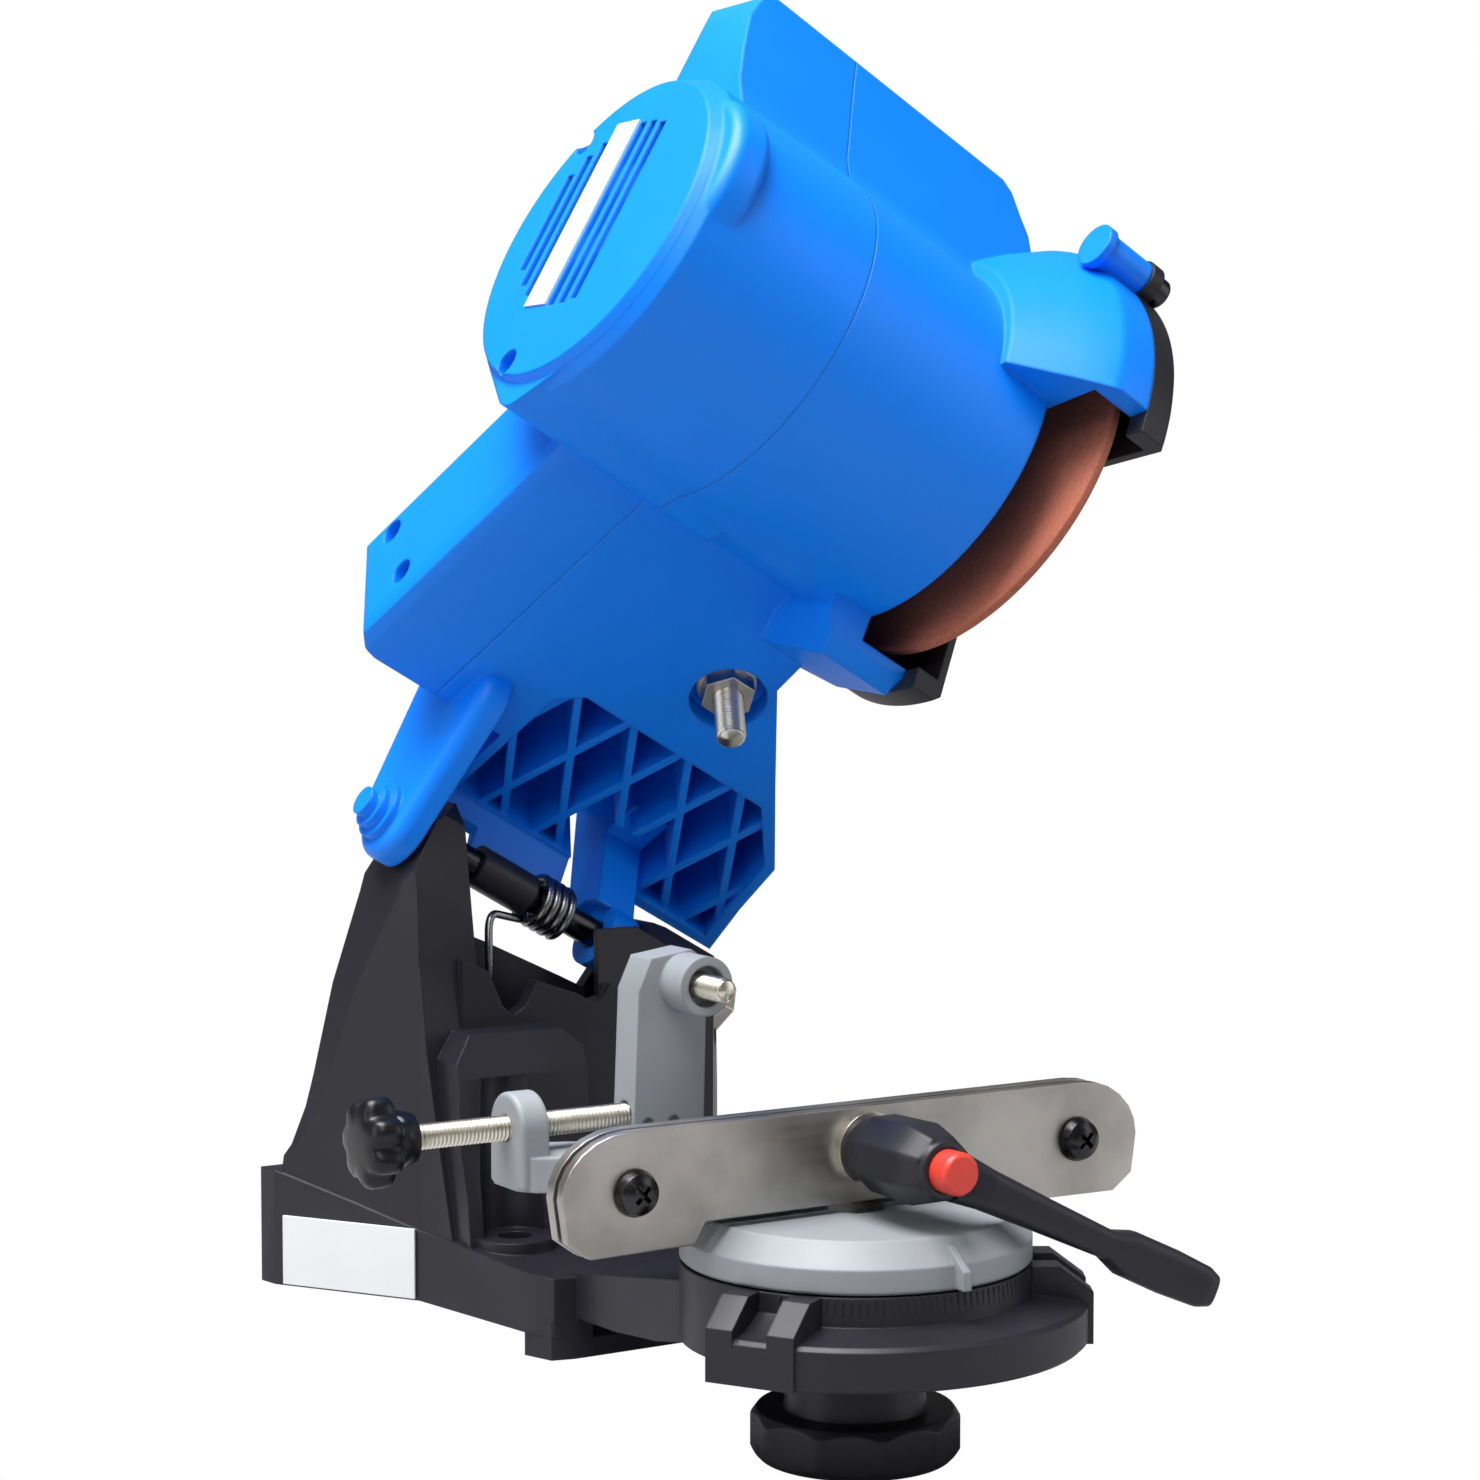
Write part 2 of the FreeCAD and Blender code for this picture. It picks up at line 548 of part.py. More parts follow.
# web: plate outline across and along the arm
WEB = [(-39, 2), (59, 2), (55, 19), (52, 37), (30, 61), (7.5, 86), (-39, 86)]
WEB_IN = [(-36, 5), (54.5, 5), (52, 18), (49, 36), (33, 52), (-30, 52), (-36, 46)]
web = prism("y", WEB, ARM_FRONT, ARM_BACK - 8)
web = web.cut(prism("y", WEB_IN, ARM_FRONT - 1, ARM_BACK - 11))
ribs = []
for lean, step, s_at, d_at in ((34.6, 16.0, -31.7, 23.0), (-14.9, 17.5, -20.1, 29.3)):
    w = math.radians(lean)
    for k in range(-5, 8):
        rib = box(-1.1, 1.1, ARM_FRONT + 1.5, ARM_BACK - 9, -90, 90)
        rib.rotate(V(0, 0, 0), AXES["y"], -lean)
        rib.translate(V(s_at + step * k * math.cos(w), 0, d_at + step * k * math.sin(w)))
        ribs.append(rib)
lattice = ribs[0].fuse(ribs[1:]).common(prism("y", WEB_IN, ARM_FRONT, ARM_BACK - 8))
web = web.fuse(lattice)
# the web's lower edge turns in over the sleeve, clear of the left tower and the spring
APRON = [(7.6, -2.5), (9.8, -3.5), (ARM_FRONT + 3, 0), (ARM_FRONT + 3, 4), (ARM_FRONT, 4)]
apron = prism("x", APRON, -37, 10).cut(rod("x", 0, 0, 14, -60, -25.5))
web = web.fuse(apron.cut(rod("x", 0, 0, COIL_R + WIRE + 1.0, -60, 60)))
NOTCH = [(5, -5), (4.5, 14), (8, 21), (18, 21), (24, 14), (26, 7), (31, 1), (31, -5)]
web = web.cut(prism("y", NOTCH, 0, ARM_BACK - 14))
right = right.fuse(arm(web))

# knuckle on the axle and the gusset that carries it
KNUCKLE = (16.5, 25.6)
knuckle = rod("x", 0, 0, 9.0, KNUCKLE[0], KNUCKLE[1])
gusset = arm(prism("x", [(-6, 3), (-1, 7), (7, 8), (ARM_FRONT + 10, 12), (ARM_FRONT + 10, 24),
                         (ARM_BACK - 10, 24), (ARM_BACK - 10, 0), (ARM_FRONT + 6, -3),
                         (4, -6)], 12, 24.6))
right = right.fuse([knuckle, gusset.cut(rod("x", 0, 0, 8.6, 0, KNUCKLE[0]))])
LUG = (-56.2, -48.0)
lug = pill("x", 0, 0, 12, -8, 36, 13, LUG[0], LUG[1]).removeSplitter()
lug = lug.makeFillet(4.0, [e for e in lug.Edges if e.BoundBox.XMax < LUG[0] + TINY])
for r, proud in ((8.0, 2.0), (6.0, 4.4), (4.0, 7.0)):
    lug = lug.fuse(rod("x", 0, 0, r, LUG[0] - proud, LUG[0] + 1))
lug_foot = arm(prism("x", [(6, -12), (-8, -4), (ARM_FRONT, ARM_FOOT + 12), (ARM_BACK - 9, 38),
                           (ARM_BACK - 10, 22)], LUG[0], -45.0))
lug_foot = lug_foot.cut(rod("x", 0, 0, 22, -47.2, 0))
right = right.fuse([lug, lug_foot])

# hollows
inner = barrel(WALL, SEAM_S - 1, -WALL).fuse([top_box(WALL, SEAM_S - 1, -WALL),
                                            arm_box(WALL + 0.4, SEAM_S - 1, 60)])
right = right.cut(inner)
bearing_seat = tube("x", SX, SZ, BEARING_R + 3.5, BEARING_R, BEARING_S0 - 1, -1)
right = right.fuse(bearing_seat).cut(rod("x", SX, SZ, BEARING_R, -20, BEARING_S0 + BEARING_W))
right = right.cut(rod("x", SX, SZ, 7.0, -9, 30)).cut(rod("x", SX, SZ, 9.0, 0, 30))
right = right.cut(rod("x", 0, 0, AXLE_R + RUN, AXLE_L0 - GAP, 40))
seats = fused(*[tube("x", SX, SZ, 60, STATOR_R, s_, s_ + 4) for s_ in (-58.0, -42.0)])
right = right.fuse(seats.common(barrel(1, SEAM_S + 1, 0)))
for y, z, face in SCREWS:
    right = right.fuse(pillar(y, z, SEAM_S + TINY, SEAM_S + PILOT + 4))
    right = right.cut(rod("x", y, z, SCREW_R, SEAM_S - 1, SEAM_S + PILOT))

# depth stop pocket
lift = ARM_FRONT
pocket = rod("y", STUD_S, STUD_D, 10.5, lift - 3, lift + 7)
pocket_floor = rod("y", STUD_S, STUD_D, 12.5, lift, ARM_BACK - TINY)
right = right.fuse(arm(pocket_floor)).cut(arm(pocket))
right = right.cut(arm(rod("y", STUD_S, STUD_D, STUD_R + RUN, 0, 80)))

# guard cover screw bore, switch opening and cord inlet
right = right.cut(rod("x", BOLT[0], BOLT[1], 2.4, 3, 40))
right = right.cut(rod("x", SIDE[0], SIDE[1], 2.0 + TINY, 8, 40))
SWITCH_S = (-40.0, -20.0)
SWITCH_Y = (-46.0, -32.0)
right = right.cut(box(SWITCH_S[0], SWITCH_S[1], SWITCH_Y[0], SWITCH_Y[1], ROOF - 11, FAR))
INLET_S = -50.0
INLET_D = 62.0
right = right.cut(arm(rod("y", INLET_S, INLET_D, 5.0, ARM_BACK - 8, ARM_BACK + 5)))
NODES["right_housing"] = head(right.removeSplitter())

# ---------------------------------------------------------------- guard cover and its screws
out_slice = fan_cut(SLICE_FROM, SLICE_TO, 0, 40).cut(rod("x", SX, SZ, 34, 0, 45))
BOLT_SEAT = COVER_S0 + 4.0
BOLT_HEAD = 4.2
cover = spun("x", SX, SZ, [(0, COVER_S0), (GUARD_R, COVER_S0), (GUARD_R, COVER_S1 - 2),
                           (GUARD_R - 2, COVER_S1), (24, COVER_S1), (20, HUB_S1), (0, HUB_S1)])
cover = cover.fuse([rod("x", BOLT[0], BOLT[1], 5.6, COVER_S0, BOLT_SEAT),
                    rod("x", SIDE[0], SIDE[1], 6, COVER_S0, COVER_S1)])
cover = cover.cut(out_slice)
cover = cover.cut(rod("x", SX, SZ, GUARD_IN, COVER_S0 - 1, COVER_S1 - 2.4))
cover = cover.cut(rod("x", SX, SZ, 18, COVER_S0 - 1, HUB_S1 - 2.4))
rim = tube("x", SX, SZ, 34, 31.5, COVER_S1 - 4, COVER_S1 - 1)
cover = cover.fuse(rim.common(fan_cut(SLICE_FROM, SLICE_TO, 10, 40)))
cover = cover.cut(rod("x", SIDE[0], SIDE[1], 2.2, 0, 60))
cover = cover.cut(rod("x", BOLT[0], BOLT[1], 2.6, 0, 60))
cover = cover.cut(rod("x", BOLT[0], BOLT[1], BOLT_HEAD + GAP, BOLT_SEAT, 60))
NODES["guard_cover"] = head(cover)
stud = rod("x", BOLT[0], BOLT[1], 2.4 - TINY, 4, BOLT_SEAT + 1)
cap = spun("x", BOLT[0], BOLT[1], [(0, BOLT_SEAT + TINY), (BOLT_HEAD, BOLT_SEAT + TINY),
                                   (BOLT_HEAD, BOLT_SEAT + 3.7), (BOLT_HEAD - 0.8, BOLT_SEAT + 4.5),
                                   (0, BOLT_SEAT + 4.5)])
NODES["guard_bolt"] = head(stud.fuse(cap))
side = rod("x", SIDE[0], SIDE[1], 2.0, 9, COVER_S1 + 1)
side = side.fuse(spun("x", SIDE[0], SIDE[1], [(0, COVER_S1 + TINY), (3.9, COVER_S1 + TINY),
                                              (3.4, COVER_S1 + 2), (2.2, COVER_S1 + 2.6),
                                              (0, COVER_S1 + 2.6)]))
NODES["guard_side_screw"] = head(side)

# ---------------------------------------------------------------- shell screws
made = []
for y, z, face in SCREWS:
    one = rod("x", y, z, SCREW_R - TINY, face, SEAM_S + PILOT - 1)
    one = one.fuse(rod("x", y, z, HEAD_R, face, face + 2.4))
    one = one.cut(box(face - 1, face + 1.4, y - 0.5, y + 0.5, z - 2.2, z + 2.2))
    one = one.cut(box(face - 1, face + 1.4, y - 2.2, y + 2.2, z - 0.5, z + 0.5))
    made.append(head(one))
NODES["shell_screws"] = group(made)

# bare strip between the vents of the motor cap
strip = box(CAP_S - 0.5, CAP_S - TINY, -STRIP_FWD - 5.4, -STRIP_FWD + 5.4, BZ - 22, BZ + 31.3)
NODES["cap_strip"] = head(strip)

# ---------------------------------------------------------------- motor
MOTOR0 = -72.0
MOTOR1 = -34.0
stator = tube("x", SX, SZ, STATOR_R, ROTOR_R + GAP, MOTOR0, MOTOR1)
for k in range(4):
    pocket_ = box(MOTOR0 - 1, MOTOR1 + 1, -5.5, 5.5, ROTOR_R + 3.5, STATOR_R - 5)
    pocket_ = turned(pocket_, V(0, 0, 0), AXES["x"], 45 + 90 * k)
    pocket_.translate(V(0, SX, SZ))
    stator = stator.cut(pocket_)
NODES["stator"] = head(stator)
coils = []
for k in range(4):
    wound = box(MOTOR0 - 9, MOTOR1 + 9, -5.2, 5.2, ROTOR_R + 3.8, STATOR_R - 5.3)
    wound = wound.makeFillet(1.5, wound.Edges)
    wound = turned(wound, V(0, 0, 0), AXES["x"], 45 + 90 * k)
    wound.translate(V(0, SX, SZ))
    coils.append(head(wound))
NODES["field_coils"] = group(coils)

rotor = tube("x", SX, SZ, ROTOR_R, SHAFT_R, MOTOR0 + 1, MOTOR1 - 1)
rotor = rotor.fuse([tube("x", SX, SZ, ROTOR_R - 4, SHAFT_R, MOTOR0 - 6, MOTOR0 + 2),
                    tube("x", SX, SZ, ROTOR_R - 4, SHAFT_R, MOTOR1 - 2, MOTOR1 + 6)])
for k in range(12):
    groove = box(MOTOR0, MOTOR1, -0.9, 0.9, ROTOR_R - 3, ROTOR_R + 1)
    groove = turned(groove, V(0, 0, 0), AXES["x"], 30 * k)
    groove.translate(V(0, SX, SZ))
    rotor = rotor.cut(groove)
NODES["rotor"] = head(rotor)
COM_R = 10.0
NODES["commutator"] = head(tube("x", SX, SZ, COM_R, SHAFT_R, -93, -81))
shaft = rod("x", SX, SZ, SHAFT_R - TINY, REAR_S0, 19)
shaft = shaft.fuse(threaded("x", SX, SZ, SHAFT_R - TINY, 1.25, 18.9, 24.2))
NODES["motor_shaft"] = head(shaft)

fan = tube("x", SX, SZ, 8, SHAFT_R, -25, -13).fuse(tube("x", SX, SZ, 36, 7, -15, -13))
blades = []
for k in range(9):
    blade = box(-25, -14, -0.8, 0.8, 12, 35)
    blade = turned(blade, V(0, 0, 12), AXES["x"], 24)
    blade = turned(blade, V(0, 0, 0), AXES["x"], 40 * k)
    blade.translate(V(0, SX, SZ))
    blades.append(blade)
NODES["cooling_fan"] = head(fan.fuse(blades))

for name, s0, s1 in (("front_bearing", BEARING_S0, BEARING_S0 + BEARING_W - TINY),
                      ("rear_bearing", REAR_S0, REAR_S0 + BEARING_W)):
    ring = spun("x", SX, SZ, [(SHAFT_R, s0), (6.2, s0), (6.2, s0 + 0.5), (9, s0 + 0.5), (9, s0),
                              (BEARING_R - TINY, s0), (BEARING_R - TINY, s1), (9, s1),
                              (9, s1 - 0.5), (6.2, s1 - 0.5), (6.2, s1), (SHAFT_R, s1)])
    NODES[name] = head(ring)

# brush gear: a plate in the left shell, two holders and two brushes
plate = tube("x", SX, SZ, STATOR_R, 17, PLATE_S, -95.2)
for sign in (1, -1):
    hold = box(-95.2, -82, -4, 4, COM_R + 2, COM_R + 20)
    brush = box(-92, -85, -2.6, 2.6, COM_R + 0.3, COM_R + 17)
    pair = [hold.cut(box(-92.05, -84.95, -2.65, 2.65, 0, COM_R + 18)), brush]
    for piece, name in zip(pair, ("brush_holders", "carbon_brushes")):
        piece = turned(piece, V(0, 0, 0), AXES["x"], 0 if sign > 0 else 180)
        piece.translate(V(0, SX, SZ))
        NODES.setdefault(name, []).append(head(piece))
NODES["brush_holders"] = group(NODES["brush_holders"])
NODES["carbon_brushes"] = group(NODES["carbon_brushes"])
NODES["brush_plate"] = head(plate)

# ---------------------------------------------------------------- disc and its clamping
NODES["inner_flange"] = head(spun("x", SX, SZ, [
    (SHAFT_R, 3), (8, 3), (8, 10), (FLANGE_R, 12.2), (FLANGE_R, DISC_S - TINY),
    (DISC_BORE / 2 - RUN, DISC_S - TINY), (DISC_BORE / 2 - RUN, DISC_S + DISC_T - 0.6),
    (SHAFT_R, DISC_S + DISC_T - 0.6)]))
d0 = DISC_S
d1 = DISC_S + DISC_T
NODES["grinding_disc"] = head(spun("x", SX, SZ, [
    (DISC_BORE / 2, d0), (DISC_R - 1.0, d0), (DISC_R, d0 + 1.0), (DISC_R, d1 - 1.0),
    (DISC_R - 1.0, d1), (DISC_BORE / 2, d1)]))
NODES["outer_flange"] = head(spun("x", SX, SZ, [
    (SHAFT_R, d1 - 0.5), (FLANGE_R - 2, d1 - 0.5), (FLANGE_R - 2, d1 + TINY), (FLANGE_R, d1 + TINY),
    (FLANGE_R, d1 + 1.2), (FLANGE_R - 1, d1 + 2.0), (SHAFT_R, d1 + 2.0)]).cut(
        rod("x", SX, SZ, DISC_BORE / 2 + 9, d1 - 1, d1)))
nut = ngon("x", SX, SZ, 13, d1 + 2.0 + TINY, d1 + 6.2)
NODES["shaft_nut"] = head(nut.cut(rod("x", SX, SZ, SHAFT_R, 0, 60)))

# ---------------------------------------------------------------- switch, wiring pieces, inlet
SW_S = (SWITCH_S[0] + SWITCH_S[1]) / 2
SW_Y = (SWITCH_Y[0] + SWITCH_Y[1]) / 2
half_s = (SWITCH_S[1] - SWITCH_S[0]) / 2 - 0.1
half_y = (SWITCH_Y[1] - SWITCH_Y[0]) / 2 - 0.1
body = box(SW_S - half_s, SW_S + half_s, SW_Y - half_y, SW_Y + half_y, ROOF - 20, ROOF + 0.5)
body = body.fuse(box(SW_S - half_s - 2, SW_S + half_s + 2, SW_Y - half_y - 2, SW_Y + half_y + 2,
                     ROOF + TINY, ROOF + 1.2))
body = body.cut(box(SW_S - 8.6, SW_S + 8.6, SW_Y - 5.4, SW_Y + 5.4, ROOF - 6, ROOF + 9))
for x in (-5, 5):
    body = body.fuse(box(SW_S + x - 0.4, SW_S + x + 0.4, SW_Y - 2.4, SW_Y + 2.4, ROOF - 27,
                         ROOF - 19))
ROCK = 8.0
PIN_R = 1.2                 # round pins that the rocker tilts on
rocker = prism("y", [(SW_S - 7.8, ROOF - 3), (SW_S - 7.8, ROOF + 1.2), (SW_S, ROOF + 0.4),
                     (SW_S + 7.8, ROOF + 1.2), (SW_S + 7.8, ROOF - 3), (SW_S, ROOF - 4.5)],
               SW_Y - 5.0, SW_Y + 5.0)
rocker = rocker.fuse(rod("y", SW_S, ROOF - 1, PIN_R, SW_Y - 6.3, SW_Y + 6.3))
NODES["switch_rocker"] = head(turned(rocker, V(SW_S, SW_Y, ROOF - 1), AXES["y"], ROCK))
body = body.cut(rod("y", SW_S, ROOF - 1, PIN_R + RUN, SW_Y - 6.5, SW_Y + 6.5))
NODES["switch_body"] = head(body)

wall_in = ARM_BACK - WALL - 0.4 - TINY
block = box(-57, -43, wall_in - 11, wall_in, 80, 104)
for k in range(3):
    block = block.cut(rod("y", -50, 84 + 8 * k, 2.2, wall_in - 12, wall_in - 5))
NODES["terminal_block"] = head(arm(block))
capacitor = soft_box(-34, -16, wall_in - 9, wall_in, 84, 102, 1.0)
NODES["suppressor"] = head(arm(capacitor))
grommet = spun("y", INLET_S, INLET_D, [(3.4, ARM_BACK - 7), (7, ARM_BACK - 7),
                                       (7, ARM_BACK - 3.0 - TINY), (4.9, ARM_BACK - 3.0 - TINY),
                                       (4.9, ARM_BACK + TINY), (8, ARM_BACK + TINY),
                                       (8, ARM_BACK + 4), (6.4, ARM_BACK + 26),
                                       (3.4, ARM_BACK + 26)])
NODES["cord_grommet"] = head(arm(grommet))

# ---------------------------------------------------------------- depth stop
TIP = 3.0
KNOB0 = ARM_BACK + 7.0
stop = threaded("y", STUD_S, STUD_D, STUD_R, 1.25, TIP, KNOB0 + 8)
NODES["depth_stop_stud"] = head(arm(stop))
floor = ARM_FRONT + 7
lock = ngon("y", STUD_S, STUD_D, 13, floor - 6.8, floor - 1.6)
lock = lock.fuse(rod("y", STUD_S, STUD_D, 8.2, floor - 1.6, floor - TINY))
NODES["depth_stop_nut"] = head(arm(lock.cut(rod("y", STUD_S, STUD_D, STUD_R + RUN, 0, 60))))


def lobed(axis, a, b, r, lobes, t0, t1, soft=1.2):
    """Hand wheel with scooped flutes."""
    wheel = rod(axis, a, b, r, t0, t1)
    wheel = wheel.makeFillet(soft, [e for e in wheel.Edges if e.Length > 6 * r * 0.9])
    for k in range(lobes):
        w = 2 * math.pi * k / lobes
        far_ = r * 1.16
        wheel = wheel.cut(rod(axis, a + far_ * math.cos(w), b + far_ * math.sin(w),
                              r * 0.34, t0 - 1, t1 + 1))
    return wheel


knob = lobed("y", STUD_S, STUD_D, 11, 6, KNOB0, KNOB0 + 11)
knob = knob.cut(rod("y", STUD_S, STUD_D, STUD_R + RUN, KNOB0 - 1, KNOB0 + 8.5))
NODES["depth_stop_knob"] = head(arm(knob))


# ---------------------------------------------------------------- vise on the table
def vise(shape):
    """From vise axes (origin on the swivel axis) to the bench frame."""
    out = shape.copy()
    out.translate(V(0, TABLE_Y, 0))
    return out


plate0 = PLATE_Z0
swivel = spun("z", 0, 0, [(0, plate0), (BOSS_R - 0.6, plate0), (BOSS_R, plate0 + 0.6),
                          (BOSS_R, plate0 + PLATE_BAND), (BOSS_R - 4.5, PLATE_TOP),
                          (0, PLATE_TOP)])
nose = -BOSS_R - 3.6
pointer = prism("x", [(nose, plate0 + 0.4), (nose, plate0 + 4.6), (3 - BOSS_R, PLATE_TOP - 1.5),
                      (3 - BOSS_R, plate0 + 0.4)], -1.0, 1.0)
swivel = swivel.fuse(pointer)
REAR1 = GUIDE_FRONT + 2 * GUIDE_T + GUIDE_SLOT
BODY0 = REAR1 + TINY
bracket = box(-52, 40, BODY0, 15, PLATE_TOP - 0.5, 62)
bracket = bracket.fuse(box(-30, 30, BODY0, 28, PLATE_TOP - 0.5, 50))
foot = prism("z", [(-72, 31.5), (-72, 43), (-70, 45), (-60, 45), (-48, 40), (-46, 27), (-30, 18),
                   (-30, 9), (-52, 9), (-64, 25), (-69, 27.5)], 50.5, 58.5)
EYE_R = 8.2
eye = rod("x", ROD_Y, ROD_Z, EYE_R, -72, -64.6)
eye = eye.makeFillet(1.2, [e for e in eye.Edges if e.Length > 40])
stem = soft_box(-72, -64.6, ROD_Y - EYE_R, ROD_Y + EYE_R, 50.5, ROD_Z, 1.2)
rail = box(-66, 8, ROD_Y - 4, ROD_Y + 4, 50.5, 56.0)
rail = rail.fuse(box(2, 8, 10, ROD_Y + 4, 45, 56))
bracket = fused(bracket, foot, eye, stem, rail)
bracket = bracket.cut(rod("x", ROD_Y, ROD_Z, ROD_R + RUN, -90, -60))
for x in (-GUIDE_SCREW_X, GUIDE_SCREW_X):
    ear = rod("y", x, GUIDE_SCREW_Z, 6.5, BODY0, 13)
    join = box(min(x, 0), max(x, 0), BODY0, 10, GUIDE_SCREW_Z - 5, GUIDE_SCREW_Z + 5)
    bracket = bracket.fuse([ear, join]).cut(rod("y", x, GUIDE_SCREW_Z, 2.5, -20, 60))
PIVOT_HEAD = 5.4
bracket = bracket.cut(rod("z", 0, 0, 9.0, PLATE_TOP - 1, 56))
swivel = swivel.cut(rod("z", 0, 0, PIVOT_R + TINY, 0, 80))
swivel = swivel.cut(ngon("z", 0, 0, 13 + 2 * TINY, PLATE_TOP - PIVOT_HEAD - TINY, PLATE_TOP + 1))
bracket = bracket.cut(rod("y", 0, LEVER_Z, 4.0, -20, 60)).cut(box(-9, 9, -20, 60, 40, 54.6))
swivel = fused(swivel, bracket)
NODES["swivel_vise"] = vise(swivel)

GUIDE = [(-GUIDE_X, 55), (-GUIDE_X + 1.4, 45.5), (-GUIDE_X + 7, 41.5), (-46, 41.8), (-43, 46.8),
         (43, 46.8), (46, 41.8), (GUIDE_X - 7, 41.5), (GUIDE_X - 1.4, 45.5), (GUIDE_X, 55)]


def guide_plate(y0, hole):
    """Guide plate with big rounded upper corners."""
    pts = list(GUIDE)
    for k in range(7):
        w = math.radians(15 * k)
        pts.append((GUIDE_X - 17 + 17 * math.cos(w), GUIDE_TOP - 14 + 14 * math.sin(w)))
    for k in range(6, -1, -1):
        w = math.radians(15 * k)
        pts.append((-GUIDE_X + 17 - 17 * math.cos(w), GUIDE_TOP - 14 + 14 * math.sin(w)))
    clean = [pts[0]]
    for q in pts[1:]:
        if math.hypot(q[0] - clean[-1][0], q[1] - clean[-1][1]) > 0.05:
            clean.append(q)
    if math.hypot(clean[0][0] - clean[-1][0], clean[0][1] - clean[-1][1]) < 0.05:
        clean.pop()
    plate_ = prism("y", clean, y0, y0 + GUIDE_T)
    for x_ in (-GUIDE_SCREW_X, GUIDE_SCREW_X):
        plate_ = plate_.cut(rod("y", x_, GUIDE_SCREW_Z, hole, -40, 40))
    return plate_.cut(rod("y", 0, LEVER_Z, 4.0 + GAP, -40, 40))


NODES["front_guide_plate"] = vise(guide_plate(GUIDE_FRONT, 2.5 + GAP))
NODES["rear_guide_plate"] = vise(guide_plate(REAR1 - GUIDE_T, 2.5 + RUN))
screws = []
for x in (-GUIDE_SCREW_X, GUIDE_SCREW_X):
    y1 = GUIDE_FRONT - GUIDE_OPEN - 0.2
    one = spun("y", x, GUIDE_SCREW_Z, [(0, y1 - 3.4), (2.6, y1 - 3.2), (4.6, y1 - 2.0),
                                       (5.4, y1), (2.5 - TINY, y1), (2.5 - TINY, 14), (0, 14)])
    for w in (45, 135):
        cross = box(-2.4, 2.4, y1 - 5, y1 - 1.4, -0.55, 0.55)
        cross = turned(cross, V(0, 0, 0), AXES["y"], w)
        cross.translate(V(x, 0, GUIDE_SCREW_Z))
        one = one.cut(cross)
    screws.append(vise(one))
NODES["guide_screws"] = group(screws)

# pivot bolt through the table, friction washer and hand knob below
KNOB_TOP = -2.0
KNOB_H = 11.5
KNOB_R = 24.5
bolt = ngon("z", 0, 0, 13, PLATE_TOP - PIVOT_HEAD, PLATE_TOP - 0.2)
bolt = bolt.fuse(rod("z", 0, 0, PIVOT_R, KNOB_TOP - KNOB_H + 3, PLATE_TOP - 3))
NODES["pivot_bolt"] = vise(bolt)
NODES["table_washer"] = vise(tube("z", 0, 0, 13.0, PIVOT_R + RUN, TABLE_Z0 - 2.4 - GAP,
                                  TABLE_Z0 - GAP))
wheel = ngon("z", 0, 0, 2 * KNOB_R * 0.965, KNOB_TOP - KNOB_H, KNOB_TOP, n=10)
wheel = wheel.common(spun("z", 0, 0, [(0, KNOB_TOP - KNOB_H), (KNOB_R - 2, KNOB_TOP - KNOB_H),
                                      (KNOB_R, KNOB_TOP - KNOB_H + 2), (KNOB_R, KNOB_TOP - 2),
                                      (KNOB_R - 1.5, KNOB_TOP), (0, KNOB_TOP)]))
hub_top = TABLE_Z0 - 2.4 - GAP - 0.1
wheel = wheel.fuse(cone("z", 0, 0, 17, 15, KNOB_TOP - 1, hub_top))
wheel = wheel.cut(rod("z", 0, 0, PIVOT_R + 2.5, KNOB_TOP - KNOB_H + 2.5, 40))
NODES["lock_knob"] = vise(wheel)
insert = tube("z", 0, 0, PIVOT_R + 2.5 - TINY, PIVOT_R + RUN, KNOB_TOP - KNOB_H + 2.5 + TINY,
              hub_top - TINY)
NODES["lock_knob_insert"] = vise(insert)

# ---------------------------------------------------------------- chain clamp lever
CLAMP_R = 4.0
HUB0 = GUIDE_FRONT - 2.0
HUB1 = -36.5
washer = tube("y", 0, LEVER_Z, 8.5, CLAMP_R + RUN, HUB0 + TINY, GUIDE_FRONT - TINY)
NODES["clamp_washer"] = vise(washer)
clamp = rod("y", 0, LEVER_Z, CLAMP_R - RUN, -22, BODY0 + 12.0)
NODES["clamp_stud"] = vise(clamp)
LEVER_DROP = 26.0
BUTTON_R = 4.9


def octagon(t, r):
    """Eight-sided ring round the clamp stud at y = t."""
    turns = [math.radians(22.5 + 45 * k) for k in range(9)]
    return Part.makePolygon([at("y", r * math.cos(w), LEVER_Z + r * math.sin(w), t) for w in turns])


hub = Part.makeLoft([octagon(HUB0 - 4, 9.4), octagon(HUB1 + 9, 9.8), octagon(HUB1 + 1.5, 7.6)],
                    True, True)
hub = hub.fuse([rod("y", 0, LEVER_Z, 7.4, HUB0 - 5, HUB0), rod("y", 0, LEVER_Z, 6.6, HUB1, HUB1 + 4)])
bar = Part.makeLoft([
    Part.makePolygon([V(x, y0, -h), V(x, y1, -h), V(x, y1, h), V(x, y0, h), V(x, y0, -h)])
    for x, y0, y1, h in ((0, HUB1 + 1.6, HUB1 + 10, 6.4), (13, HUB1 - 1.6, HUB1 + 6.2, 5.0),
                         (48, HUB1 - 5.5, HUB1 + 1.5, 3.4), (54, HUB1 - 6, HUB1 + 2, 5.6),
                         (75, HUB1 - 10, HUB1 - 2, 5.0), (78, HUB1 - 10, HUB1 - 4, 3.0))],
    True, True)
bar.rotate(V(0, 0, 0), AXES["y"], LEVER_DROP)
bar.translate(V(0, 0, LEVER_Z))
lever = fused(hub, bar)
lever = lever.cut(rod("y", 0, LEVER_Z, CLAMP_R + 2, HUB1 + 12.5, 0))
lever = lever.cut(rod("y", 0, LEVER_Z, BUTTON_R + RUN, HUB1 - 10, HUB1 + 13))
